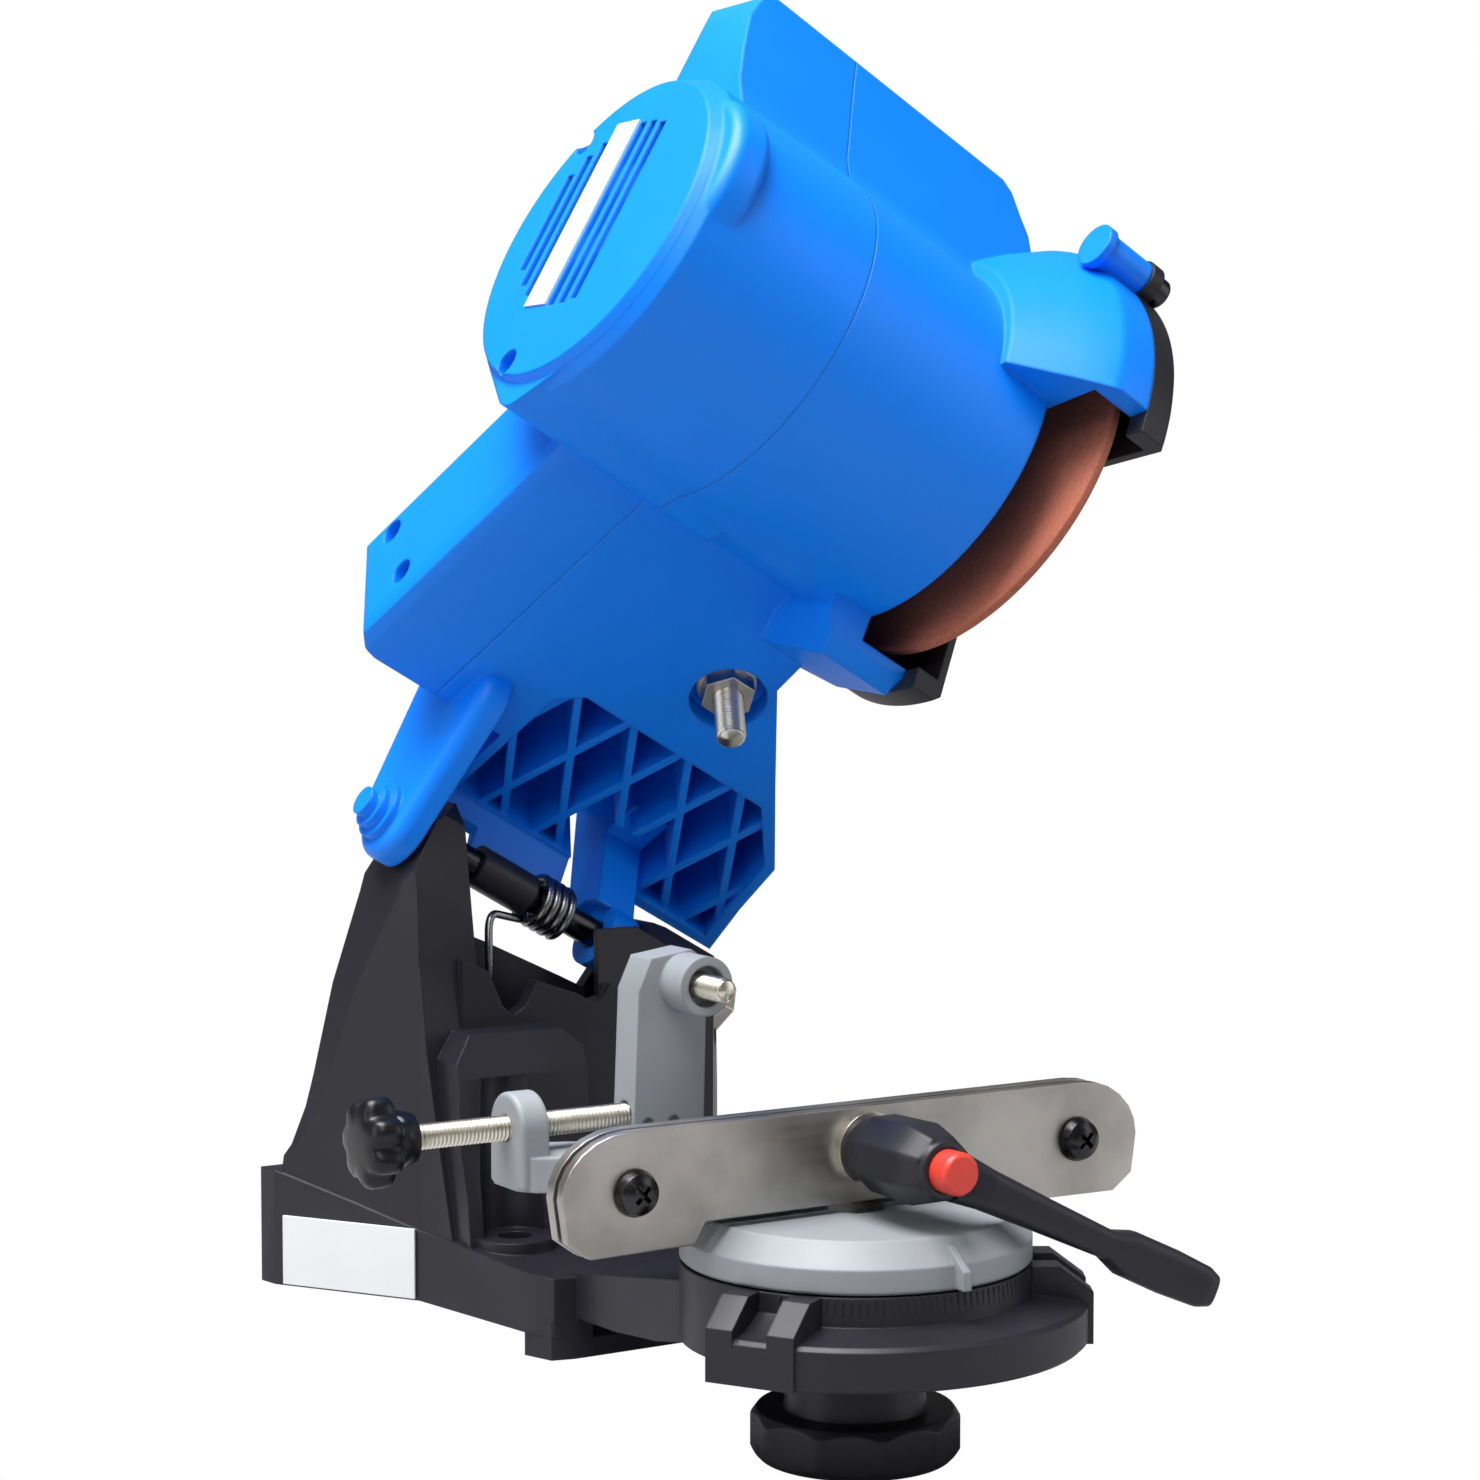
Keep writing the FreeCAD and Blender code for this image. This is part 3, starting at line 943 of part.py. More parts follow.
lever = lever.cut(rod("y", 0, LEVER_Z, BUTTON_R + 0.7 + RUN, HUB1 + 2.5, HUB1 + 13))
NODES["clamp_lever"] = vise(lever)
insert = tube("y", 0, LEVER_Z, CLAMP_R + 2 - TINY, CLAMP_R + RUN, -23, HUB0 - TINY)
NODES["lever_insert"] = vise(insert)
button = spun("y", 0, LEVER_Z, [(0, HUB1 - 6.0), (BUTTON_R - 0.7, HUB1 - 6.0),
                                (BUTTON_R, HUB1 - 5.0), (BUTTON_R, HUB1 + 2.6),
                                (BUTTON_R + 0.7, HUB1 + 2.6), (BUTTON_R + 0.7, HUB1 + 5.5),
                                (0, HUB1 + 5.5)])
NODES["lever_button"] = vise(button)
helix = Part.makeHelix(1.4, 5.6, 3.6)
start = Part.Wire(Part.makeCircle(0.35, V(3.6, 0, 0), V(0, 1, 0)))
coil = Part.Wire(helix).makePipeShell([start], True, True)
coil.rotate(V(0, 0, 0), AXES["x"], -90)
coil.translate(V(0, HUB1 + 6.0, LEVER_Z))
NODES["button_spring"] = vise(coil)

# ---------------------------------------------------------------- chain stop and its adjusting screw
y0 = ROD_Y - 5
y1 = ROD_Y + 5
carrier = prism("y", [(CARRIER_X0, 56.3), (CARRIER_X0 + 1.5, 94), (CARRIER_X0 + 5, 101.5),
                      (CARRIER_X1 - 3, 103), (CARRIER_X1 + 1, 100), (CARRIER_X1, 56.3)], y0, y1)
saddle = box(CARRIER_X0, CARRIER_X1, y0, y1, 52.0, 57)
carrier = carrier.fuse(saddle).cut(box(-60, 0, ROD_Y - 4.3, ROD_Y + 4.3, 50, 56.3))
PIN_X = -27.0
PIN_Z = 95.5
boss = rod("y", PIN_X, PIN_Z, 7.0, ROD_Y - 15, ROD_Y + 3)
carrier = carrier.fuse(boss).cut(rod("y", PIN_X, PIN_Z, 4.9, ROD_Y - 16, ROD_Y - 11))
carrier = carrier.cut(rod("y", PIN_X, PIN_Z, 3.0, -20, ROD_Y + 6))
for x in (CARRIER_X0 + 4.0, CARRIER_X0 + 11.0):
    carrier = carrier.cut(rod("y", x, 62.5, 1.6, y0 - 1, y0 + 1.4))
tip = rod("x", ROD_Y, ROD_Z, ROD_R + GAP, CARRIER_X0 - 1, CARRIER_X0 + 3)
carrier = carrier.cut(tip)
NODES["stop_carrier"] = vise(carrier.removeSplitter())
pin = threaded("y", PIN_X, PIN_Z, 3.0 - TINY, 1.0, ROD_Y - 24, ROD_Y - 2)
pin = pin.fuse(rod("y", PIN_X, PIN_Z, 2.9, ROD_Y - 3, ROD_Y + 5))
NODES["stop_pin"] = vise(pin)
ROD_END = CARRIER_X0 + 2.5
STAR0 = -109.6
STAR1 = STAR0 + 8.3
adj = threaded("x", ROD_Y, ROD_Z, ROD_R, 1.0, STAR0 + 5, ROD_END)
NODES["adjusting_screw"] = vise(adj)
star = lobed("x", ROD_Y, ROD_Z, 10.5, 7, STAR0, STAR1)
star = star.fuse(cone("x", ROD_Y, ROD_Z, 7.2, 5.6, STAR1 - 0.2, STAR1 + 5.5))
star = star.cut(rod("x", ROD_Y, ROD_Z, ROD_R + TINY, STAR0 + 5 - 2 * TINY, STAR1 + 10))
NODES["star_knob"] = vise(star)

# ---------------------------------------------------------------- write one file per piece
os.makedirs("parts", exist_ok=True)
for name, shape in NODES.items():
    shape.exportStep("parts/" + name + ".step")
    size = shape.BoundBox
    print(name, len(shape.Solids), "valid" if shape.isValid() else "INVALID",
          round(size.XLength, 1), round(size.YLength, 1), round(size.ZLength, 1),
          [round(s.Volume, 1) for s in shape.Solids][:9])
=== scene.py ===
# %% [markdown]
# # Electric chainsaw-chain sharpener: the looks
#
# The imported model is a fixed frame, and this script never moves it. It gives every solid a
# procedural material, and stands new surfaces in for the pieces whose real shape is softer or
# finer than the solids: three threaded rods, two hand knobs, the grinding disc, the clamp lever
# and the return spring. It adds the ridges of the angle scale, a camera, a floor and four lamps.
#
# `nodes` maps each solid's name to its Blender object.

# %% load the frame
import json
import math

import bpy
import numpy as np
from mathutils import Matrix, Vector


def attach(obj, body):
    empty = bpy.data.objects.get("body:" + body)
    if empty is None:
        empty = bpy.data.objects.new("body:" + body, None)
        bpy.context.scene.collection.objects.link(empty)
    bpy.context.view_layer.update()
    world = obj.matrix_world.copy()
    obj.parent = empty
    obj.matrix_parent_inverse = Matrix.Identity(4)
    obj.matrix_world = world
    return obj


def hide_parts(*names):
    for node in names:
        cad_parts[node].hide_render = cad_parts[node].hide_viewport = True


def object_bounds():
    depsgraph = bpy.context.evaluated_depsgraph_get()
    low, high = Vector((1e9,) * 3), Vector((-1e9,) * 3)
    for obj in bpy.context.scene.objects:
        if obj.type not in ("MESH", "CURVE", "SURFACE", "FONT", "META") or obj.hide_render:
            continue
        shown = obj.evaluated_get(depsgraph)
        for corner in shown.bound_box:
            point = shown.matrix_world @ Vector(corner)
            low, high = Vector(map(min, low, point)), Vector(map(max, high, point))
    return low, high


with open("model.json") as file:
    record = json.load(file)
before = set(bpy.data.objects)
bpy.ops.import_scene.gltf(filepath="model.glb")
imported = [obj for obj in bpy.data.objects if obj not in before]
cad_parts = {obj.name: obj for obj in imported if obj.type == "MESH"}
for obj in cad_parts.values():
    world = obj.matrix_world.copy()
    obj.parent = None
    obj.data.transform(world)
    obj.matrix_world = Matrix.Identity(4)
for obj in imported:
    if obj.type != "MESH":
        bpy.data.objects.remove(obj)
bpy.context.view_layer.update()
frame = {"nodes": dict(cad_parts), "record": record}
nodes = frame["nodes"]

# %% [markdown]
# ## Shader arithmetic
#
# A surface is described by formulas, such as "roughness is 0.4, and a little more where a noise
# is high". Blender writes a formula as a chain of Math nodes. Those could be made and linked one
# by one, but ten lines of links hide what one line of arithmetic says. So `Sock` wraps a node's
# socket and overloads the operators: `0.4 + noise * 0.1` adds the nodes. The reflected forms
# (`__radd__` and so on) are there so that a plain number may stand on the left, as in `1 - mask`.

# %% one shader socket
class Sock:
    """One socket with arithmetic. Each operation adds one Math node."""

    def __init__(self, look, out):
        self.look, self.out = look, out

    def _math(self, op, *args):
        return self.look.node("ShaderNodeMath", dict(enumerate(args)), operation=op)

    def __add__(self, o): return self._math("ADD", self, o)
    def __radd__(self, o): return self._math("ADD", o, self)
    def __sub__(self, o): return self._math("SUBTRACT", self, o)
    def __rsub__(self, o): return self._math("SUBTRACT", o, self)
    def __mul__(self, o): return self._math("MULTIPLY", self, o)
    def __rmul__(self, o): return self._math("MULTIPLY", o, self)

    def step(self, low, high):
        """0 below low, 1 above high and smooth between."""
        return self.look.node("ShaderNodeMapRange",
                              {"Value": self, "From Min": low, "From Max": high},
                              interpolation_type="SMOOTHSTEP")


print("sockets add, subtract and multiply")

# %% [markdown]
# `Look` is one material while it is being built. Its `node` method makes any node: settings
# first, because they decide which sockets exist, then the values or links of the sockets. The
# other methods are the few patterns that this object's finishes share. All of them read Object
# coordinates, which are metres on the piece itself, so a pattern keeps its size on every piece
# and stays on the piece when it moves.

# %% one material
MIX_SHARE, MIX_A, MIX_B, MIX_OUT = 0, 6, 7, 2    # a Mix node's sockets for colours, by number


class Look:
    """One material being built."""

    def __init__(self, name):
        self.mat = bpy.data.materials.new(name)
        self.mat.use_nodes = True
        self.tree = self.mat.node_tree
        self.bsdf = self.tree.nodes["Principled BSDF"]
        self.here = self.node("ShaderNodeTexCoord", out="Object")

    def node(self, kind, inputs=None, out=0, **settings):
        """Any node: its settings, its inputs by name or number, and the wanted output."""
        n = self.tree.nodes.new(kind)
        for key, value in settings.items():
            setattr(n, key, value)
        for key, value in (inputs or {}).items():
            self.feed(n.inputs[key], value)
        return Sock(self, n.outputs[out])

    def feed(self, socket, value):
        """Links a Sock, or sets a number, a vector or a colour."""
        if isinstance(value, Sock):
            self.tree.links.new(value.out, socket)
        elif isinstance(value, tuple) and len(value) == 3 and socket.type == "RGBA":
            socket.default_value = (*value, 1.0)
        else:
            socket.default_value = value

    def noise(self, scale, detail=3.0, rough=0.5, stretch=(1, 1, 1)):
        """Cloudy noise from 0 to 1; scale is in features per metre."""
        place = self.node("ShaderNodeMapping", {"Vector": self.here, "Scale": stretch})
        return self.node("ShaderNodeTexNoise", {"Vector": place, "Scale": scale,
                                                "Detail": detail, "Roughness": rough})

    def cells(self, scale):
        """Distance to the nearest of many scattered points: round grains."""
        return self.node("ShaderNodeTexVoronoi", {"Vector": self.here, "Scale": scale},
                         out="Distance")

    def mix(self, share, a, b):
        """Colour a where share is 0 and b where it is 1."""
        n = self.tree.nodes.new("ShaderNodeMix")
        n.data_type = "RGBA"
        for key, value in ((MIX_SHARE, share), (MIX_A, a), (MIX_B, b)):
            self.feed(n.inputs[key], value)
        return Sock(self, n.outputs[MIX_OUT])

    def rounded(self, radius):
        """The normal as it would be if every corner had this radius in metres."""
        return self.node("ShaderNodeBevel", {"Radius": radius}, samples=4)

    def edges(self, radius):
        """1 on corners, 0 on flats: how far the rounded normal turns from the true one."""
        true = self.node("ShaderNodeNewGeometry", out="Normal")
        dot = self.node("ShaderNodeVectorMath", {0: self.rounded(radius), 1: true}, out="Value",
                        operation="DOT_PRODUCT")
        return (1.0 - dot).step(0.02, 0.3)

    def bump(self, height, strength, distance, radius=0.0):
        """Bumps of a height in metres, over corners rounded by a radius if one is given."""
        inputs = {"Height": height, "Strength": strength, "Distance": distance}
        if radius:
            inputs["Normal"] = self.rounded(radius)
        return self.node("ShaderNodeBump", inputs)

    def done(self, **sockets):
        """Feeds the surface; a name with _ stands for the socket name with a space."""
        for key, value in sockets.items():
            self.feed(self.bsdf.inputs[key.replace("_", " ")], value)
        return self.mat


def darker(colour, share):
    """The colour less a share of itself."""
    return tuple(c * (1.0 - share) for c in colour)


def paler(colour, gain, lift=0.0):
    """The colour times gain plus lift, and never above white."""
    return tuple(min(1.0, c * gain + lift) for c in colour)


print("materials are built from shared patterns")

# %% [markdown]
# ## Moulded plastic
#
# The housing, the knobs and the lever are injection moulded, and the black casting has a paint
# that looks much like them. Such a surface isn't one flat colour. The mould's etched steel leaves
# a fine grain, the gloss drifts slowly from place to place as the plastic cooled, and corners are
# handled until they are polished and a little paler.
#
# A picture of plastic could be wrapped round the parts, but it would need unwrapping and would
# blur close up. A formula has no seams and no size limit. So: a slow noise for the drift, a fine
# one for the grain, and the corners found from the angle between the true and a rounded normal.

# %% moulded plastics
CLOUDS, SMEARS, WAVES, WEAR = 14.0, 70.0, 120.0, 260.0      # features per metre
DRIFT, POLISH = 0.10, 0.06        # how far the gloss drifts, and how much smoother a corner is


def moulded(name, colour, rough, grain=1600.0, depth=0.00004, shift=0.10, coat=0.0,
            corner=0.0006, shine=0.5):
    """Colour with slow cloudiness, grain in the bump and paler worn corners."""
    k = Look(name)
    cloud = k.noise(CLOUDS, 4.0)
    fine = k.noise(grain, 2.0)
    worn = k.edges(corner) * k.noise(WEAR, 3.0).step(0.35, 0.75)
    base = k.mix(cloud.step(0.3, 0.7), darker(colour, shift), colour)
    base = k.mix(worn * 0.55, base, paler(colour, 1.2, 0.015))
    gloss = (rough + (cloud - 0.5) * DRIFT + (k.noise(SMEARS, 4.0) - 0.5) * DRIFT
             - worn * POLISH)
    height = fine + k.noise(WAVES, 2.0) * 0.8
    return k.done(Base_Color=base, Roughness=gloss, Coat_Weight=coat, Coat_Roughness=0.12,
                  Specular_IOR_Level=shine, Normal=k.bump(height, 0.25, depth, corner))


blue = moulded("blue_moulding", (0.0005, 0.215, 0.93), 0.40, grain=900.0, depth=0.00003,
               shift=0.06, corner=0.0012, shine=0.3)
black = moulded("black_moulding", (0.019, 0.018, 0.025), 0.40, grain=1400.0, shift=0.25,
                shine=0.35)
cover_black = moulded("black_cover", (0.016, 0.016, 0.020), 0.44, grain=1800.0, shift=0.2,
                      shine=0.35)
knob_black = moulded("knob_black", (0.006, 0.006, 0.008), 0.30, grain=1000.0, shine=0.35)
red = moulded("red_moulding", (0.74, 0.048, 0.028), 0.38, grain=900.0, coat=0.12)
white = moulded("white_moulding", (0.72, 0.72, 0.68), 0.45)
rubber = moulded("rubber", (0.022, 0.022, 0.022), 0.62, grain=2200.0, depth=0.00008)
carbon = moulded("carbon", (0.035, 0.035, 0.038), 0.55, grain=2600.0, depth=0.00006)
board = moulded("board", (0.30, 0.17, 0.07), 0.5, grain=1200.0)
print("nine moulded looks made")

# %% [markdown]
# ## Bare metal
#
# The guide plates are stamped from rolled sheet, and rolling leaves fine lines along it. Screws
# are turned and plated, and the axle is dark. All of them are metal, so the colour is the colour
# of the mirror image, and what tells them apart is how rough that mirror is and which way its
# scratches run.
#
# Scratches could be drawn one by one. A noise that is squeezed across and stretched along does
# the same for the whole piece: `stretch` is small along the direction that the lines follow. It
# drives the gloss and a very shallow bump. A second, slower noise stains the colour.

# %% metals
def metal(name, colour, rough, stretch=(1, 1, 1), marks=900.0, depth=0.00002, tint=0.15):
    """Bare metal: fine lines vary its gloss, and slow stains its colour."""
    k = Look(name)
    lines = k.noise(marks, 4.0, 0.65, stretch)
    stain = k.noise(35.0, 5.0) * 0.6 + k.noise(12.0, 2.0) * 0.4
    base = k.mix(stain.step(0.38, 0.62), darker(colour, tint), colour)
    gloss = rough + (lines - 0.5) * 0.22 + (stain - 0.5) * 0.12
    return k.done(Base_Color=base, Metallic=1.0, Roughness=gloss,
                  Normal=k.bump(lines, 0.3, depth, 0.0003))


plate_steel = metal("plate_steel", (0.55, 0.53, 0.50), 0.40, stretch=(0.06, 1, 1.4),
                    marks=700.0, depth=0.00003, tint=0.38)
steel = metal("plated_steel", (0.74, 0.70, 0.60), 0.30, marks=300.0, depth=0.000006)
spring_steel = metal("spring_steel", (0.26, 0.26, 0.27), 0.28, depth=0.000006)
dark_steel = metal("dark_steel", (0.055, 0.053, 0.056), 0.26, marks=1200.0, depth=0.000008)
core_steel = metal("core_steel", (0.35, 0.36, 0.38), 0.45, stretch=(12, 1, 1))
copper = metal("copper", (0.72, 0.33, 0.14), 0.35)
brass = metal("brass", (0.78, 0.57, 0.25), 0.32)
print("seven metals made")

# %% [markdown]
# ## Painted casting
#
# The vise and the stop carrier are die cast and painted grey. Sprayed paint dries with a gentle
# orange peel, and a little metal flake in it catches the light. Plain grey plastic would look
# dead beside the real thing, and full metal too bright. So the paint is a grey with a small
# metallic share, flecks from a cell pattern, and two noises in the bump.

# %% paint
def painted(name, colour, rough, peel=420.0, depth=0.00006):
    """Paint over a casting: orange peel, slow cloudiness, flecks and paler corners."""
    k = Look(name)
    cloud = k.noise(18.0, 4.0)
    worn = k.edges(0.0008) * k.noise(300.0).step(0.4, 0.7)
    base = k.mix(cloud.step(0.3, 0.7), tuple(c * 0.9 for c in colour), colour)
    base = k.mix(worn * 0.5, base, paler(colour, 1.2))
    base = k.mix(k.cells(2600.0).step(0.0, 0.35) * 0.06, base, (1.0, 1.0, 1.0))
    height = k.noise(peel, 2.0) + k.noise(2400.0) * 0.25
    return k.done(Base_Color=base, Metallic=0.12,
                  Roughness=rough + (k.noise(90.0) - 0.5) * 0.14,
                  Normal=k.bump(height, 0.35, depth, 0.0009))


grey_cast = painted("grey_cast", (0.26, 0.28, 0.305), 0.55)
print("grey paint made")

# %% [markdown]
# ## Abrasive
#
# The grinding disc is red-brown aluminium oxide grit in resin. The grains stand proud, so the
# surface is rough and pitted, and no two grains have quite the same shade. Modelling tens of
# thousands of grains would cost a lot and show little. A cell pattern with 1500 grains to the
# metre gives their shape, and a noise of about that size gives the resin between them.

# %% abrasive
def abrasive_look():
    """Red-brown grit: pits set the shade, grains lighten it and slow patches darken it."""
    k = Look("abrasive")
    grit = k.cells(1500.0)
    pits = k.noise(900.0, 5.0, 0.7)
    base = k.mix(pits.step(0.30, 0.68), (0.36, 0.105, 0.062), (0.48, 0.150, 0.088))
    base = k.mix(grit.step(0.30, 0.0) * 0.15, base, (0.45, 0.20, 0.13))
    base = k.mix(k.noise(22.0, 3.0).step(0.45, 0.75) * 0.2, base, (0.26, 0.085, 0.055))
    return k.done(Base_Color=base, Roughness=0.88 + (pits - 0.5) * 0.15,
                  Normal=k.bump(grit * 0.6 + pits, 0.35, 0.0001))


abrasive = abrasive_look()
print("abrasive made")

# %% [markdown]
# ## Blank foil
#
# The name plate and the strip on the motor cap are printed foil on the real machine. Here they
# are bare: pale, faintly brushed, with a slightly uneven gloss, so that the place is finished
# and says nothing. A white colour alone would look like paper. The brushing is the squeezed
# noise of the metals again, over a small metallic share.

# %% foil
def label_look():
    """Blank foil: fine brushed lines and slow pale patches."""
    k = Look("label")
    lines = k.noise(1500.0, 3.0, 0.6, (1, 1, 0.05))
    base = k.mix(k.noise(40.0).step(0.4, 0.8) * 0.3, (0.78, 0.79, 0.81), (0.70, 0.71, 0.74))
    return k.done(Base_Color=base, Metallic=0.25, Roughness=0.36 + (lines - 0.5) * 0.15,
                  Normal=k.bump(lines, 0.2, 0.00001))


label = label_look()
print("foil made")

# %% [markdown]
# ## Dress the solids
#
# A material slot says what a piece is made of, and every solid in the frame names one. Looks
# could be given piece by piece, but then two pieces of the same plastic might drift apart. So one
# table says which look each slot has, and a loop over the solids does the rest.

# %% dress the solids
LOOKS = {"black_plastic": black, "blue_housing": blue, "cover_black": cover_black,
         "cast_grey": grey_cast, "steel": steel, "plate_steel": plate_steel,
         "dark_steel": dark_steel, "spring_steel": spring_steel, "abrasive": abrasive,
         "red_plastic": red, "label": label, "core_steel": core_steel, "copper": copper,
         "brass": brass, "carbon": carbon, "board": board, "white_plastic": white,
         "rubber": rubber}
SLOT_OF = {s["node"]: s["material_slot"] for s in frame["record"]["subparts"]}
for name, obj in nodes.items():
    obj.data.materials.clear()
    obj.data.materials.append(LOOKS[SLOT_OF[name]])
print("dressed", len(nodes), "solids in", len(LOOKS), "looks")

# %% [markdown]
# ## Rounded edges
#
# Nothing cast or moulded has a knife edge: the mould itself has rounded corners, and that thin
# bright line along an edge is half of what makes a part look real. The radius could be cut into
# the solids, but a hundred small fillets slow them down and none of them fits anything.
#
# So the edge is rounded by modifiers, which leave the mesh itself as it is. A solid arrives as
# loose triangles: Weld joins them, Decimate merges the flat ones back into faces, Bevel rounds
# what is left of the corners, and Weighted Normal keeps the flats flat.

# %% round the edges
MM = 0.001
WELD_GAP = 0.00002                # metres
FLAT, CORNER = 1.0, 30.0          # degrees: less is one flat face, more is a corner to round
FLAT_WEIGHT = 60                  # percent: how much large faces hold the shading flat


def soften(obj, width, segments=2):
    """Merges flat facets, then rounds every corner by width mm."""
    weld = obj.modifiers.new("weld", "WELD")
    weld.merge_threshold = WELD_GAP
    flat = obj.modifiers.new("flat", "DECIMATE")
    flat.decimate_type = "DISSOLVE"
    flat.angle_limit = math.radians(FLAT)
    round_ = obj.modifiers.new("round", "BEVEL")
    round_.width = width * MM
    round_.segments = segments
    round_.limit_method = "ANGLE"
    round_.angle_limit = math.radians(CORNER)
    round_.miter_outer = "MITER_ARC"
    shade = obj.modifiers.new("shade", "WEIGHTED_NORMAL")
    shade.weight = FLAT_WEIGHT


EDGE_MM = {"base_casting": 1.3, "right_housing": 0.9, "left_shell": 1.2, "guard_cover": 1.0,
           "swivel_vise": 1.0, "stop_carrier": 1.2, "front_guide_plate": 0.35,
           "rear_guide_plate": 0.35, "lock_knob": 1.2, "name_plate": 0.2, "guide_screws": 0.15,
           "switch_body": 0.5, "switch_rocker": 0.5, "depth_stop_nut": 0.4, "axle_nut": 0.4,
           "guard_bolt": 0.4, "lever_button": 0.5}
for name, width in EDGE_MM.items():
    soften(nodes[name], width)
print("rounded the edges of", len(EDGE_MM), "solids")

# %% [markdown]
# ## Places
#
# The new pieces are drawn in millimetres and in the axes that suit them, then carried into the
# bench frame in one step. The head turns about an axle that falls to the right by 30 degrees, so
# its pieces are drawn in *head axes*: x along the axle, -y forward, z up. The arm leans back by
# another 45.9 degrees in *arm axes*. The vise's pieces are drawn round its swivel axis.
#
# Drawing in the bench frame would hide every round number in a sine. Turning objects would work
# too, but a finished piece has to sit at the origin with its place in its mesh.

# %% places and axes
TAU = 2 * math.pi
TILT, LEAN = math.radians(30.0), math.radians(45.9)
AXLE_Y, AXLE_Z = 34.0, 100.0
TABLE_Y = -117.0


def from_head(p):
    """Head axes to the bench frame: a turn by TILT about y, and the axle's place."""
    x, y, z = np.moveaxis(np.asarray(p, float), -1, 0)
    out = [x * math.cos(TILT) + z * math.sin(TILT), y + AXLE_Y,
           AXLE_Z - x * math.sin(TILT) + z * math.cos(TILT)]
    return np.stack(out, -1) * MM


def from_arm(p):
    """Arm axes (x, back through the arm, along the arm): a turn by LEAN about x, then head."""
    x, b, d = np.moveaxis(np.asarray(p, float), -1, 0)
    y = b * math.cos(LEAN) - d * math.sin(LEAN)
    z = b * math.sin(LEAN) + d * math.cos(LEAN)
    return from_head(np.stack([x, y, z], -1))


def from_vise(p):
    """Vise axes to the bench frame: a shift to the swivel axis."""
    return (np.asarray(p, float) + [0, TABLE_Y, 0]) * MM


print("the axle's middle is at", (0, AXLE_Y, AXLE_Z), "mm and the vise turns about y", TABLE_Y)

# %% [markdown]
# ## From a grid of points to a piece
#
# Most of the pieces are round: one direction of a grid runs round the piece and one along it.
# Blender's own cylinders could be pushed into shape, but a grid worked out as whole arrays says
# the shape in one formula. `ring_faces` joins each row to the next, and the columns close on
# themselves. `skin` closes both ends with a fan to a pole.
#
# A face has a front, and it must point out, or the light goes wrong and a printed model fails.
# Instead of choosing the order of corners by trial, `outward` measures the signed volume inside
# the faces, which is negative when they point in, and turns them all if it has to.

# %% mesh helpers
def ring_faces(rows, cols):
    """Quads between neighbouring rows of a grid whose columns close on themselves."""
    r, c = np.meshgrid(np.arange(rows - 1), np.arange(cols), indexing="ij")
    a = r * cols + c
    b = r * cols + (c + 1) % cols
    quads = np.stack([a, b, b + cols, a + cols], -1).reshape(-1, 4)
    return [tuple(q) for q in quads.tolist()]


def outward(verts, faces):
    """Faces that point out: the sum of a . (b x c) / 6 over their triangles is above 0."""
    fans = np.array([(f[0], f[i], f[i + 1]) for f in faces for i in range(1, len(f) - 1)])
    a, b, c = (verts[fans[:, i]] for i in range(3))
    volume = np.sum(a * np.cross(b, c)) / 6
    return verts, faces if volume > 0 else [f[::-1] for f in faces]


def skin(grid):
    """Closed skin over a grid of rings: the rings, and a fan to a pole at each end."""
    rows, cols = grid.shape[:2]
    poles = np.stack([grid[0].mean(0), grid[-1].mean(0)])
    verts = np.concatenate([grid.reshape(-1, 3), poles])
    faces = ring_faces(rows, cols)
    low, high = rows * cols, rows * cols + 1
    last = (rows - 1) * cols
    faces += [((c + 1) % cols, c, low) for c in range(cols)]
    faces += [(last + c, last + (c + 1) % cols, high) for c in range(cols)]
    return outward(verts, faces)


def add_mesh(name, verts, faces, body, slot, material, replaces=()):
    """One piece from points and faces, which rides on its body and stands for its solid."""
    mesh = bpy.data.meshes.new(name)
    mesh.from_pydata(verts.reshape(-1, 3).tolist(), [], faces)
    mesh.shade_smooth()
    mesh.update()
    obj = bpy.data.objects.new(name, mesh)
    bpy.context.scene.collection.objects.link(obj)
    obj.data.materials.append(material)
    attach(obj, body)
    if replaces:
        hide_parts(*replaces)
    print(name, len(mesh.vertices), "points")
    return obj


# %% [markdown]
# ## Threads
#
# Three rods show their thread: the adjusting screw of the stop, the stop pin and the depth stop.
# A rolled thread is one ridge that climbs a pitch per turn. Rings side by side look like it only
# from afar, and a spiral cut by a screw modifier leaves ragged ends.
#
# A helix is simple as a height over the rod: the groove's depth follows a cosine of
# x / pitch - angle / turn, so a step along the rod shifts it round the rod. The ends taper over
# one chamfer, down to 82 percent of the radius.

# %% threaded rods
M6_R, M6_PITCH, M6_DEPTH = 3.0, 1.0, 0.42
M8_R, M8_PITCH, M8_DEPTH = 4.0, 1.25, 0.5
ROWS_PER_PITCH, ROD_SIDES, CHAMFER, TIP = 7, 28, 1.0, 0.82


def thread_grid(length, r, pitch, depth):
    """Rings of a threaded rod along +x: radius = r - depth * wave(x / pitch - angle / turn)."""
    x = np.linspace(0, length, int(length / pitch * ROWS_PER_PITCH))[:, None]
    w = np.linspace(0, TAU, ROD_SIDES, endpoint=False)[None, :]
    wave = 0.5 + 0.5 * np.cos(TAU * (x / pitch - w / TAU))
    end = np.minimum(np.minimum(x, length - x) / CHAMFER, 1.0)
    radius = (r - depth * wave) * (TIP + (1 - TIP) * end)
    return np.stack([x + 0 * w, radius * np.cos(w), radius * np.sin(w)], -1)


def lay(grid, start, along, side):
    """Turns a grid drawn along +x to lie along another axis: x becomes along, y side."""
    a, s = np.array(along, float), np.array(side, float)
    t = np.cross(a, s)
    return np.array(start, float) + grid[..., :1] * a + grid[..., 1:2] * s + grid[..., 2:] * t


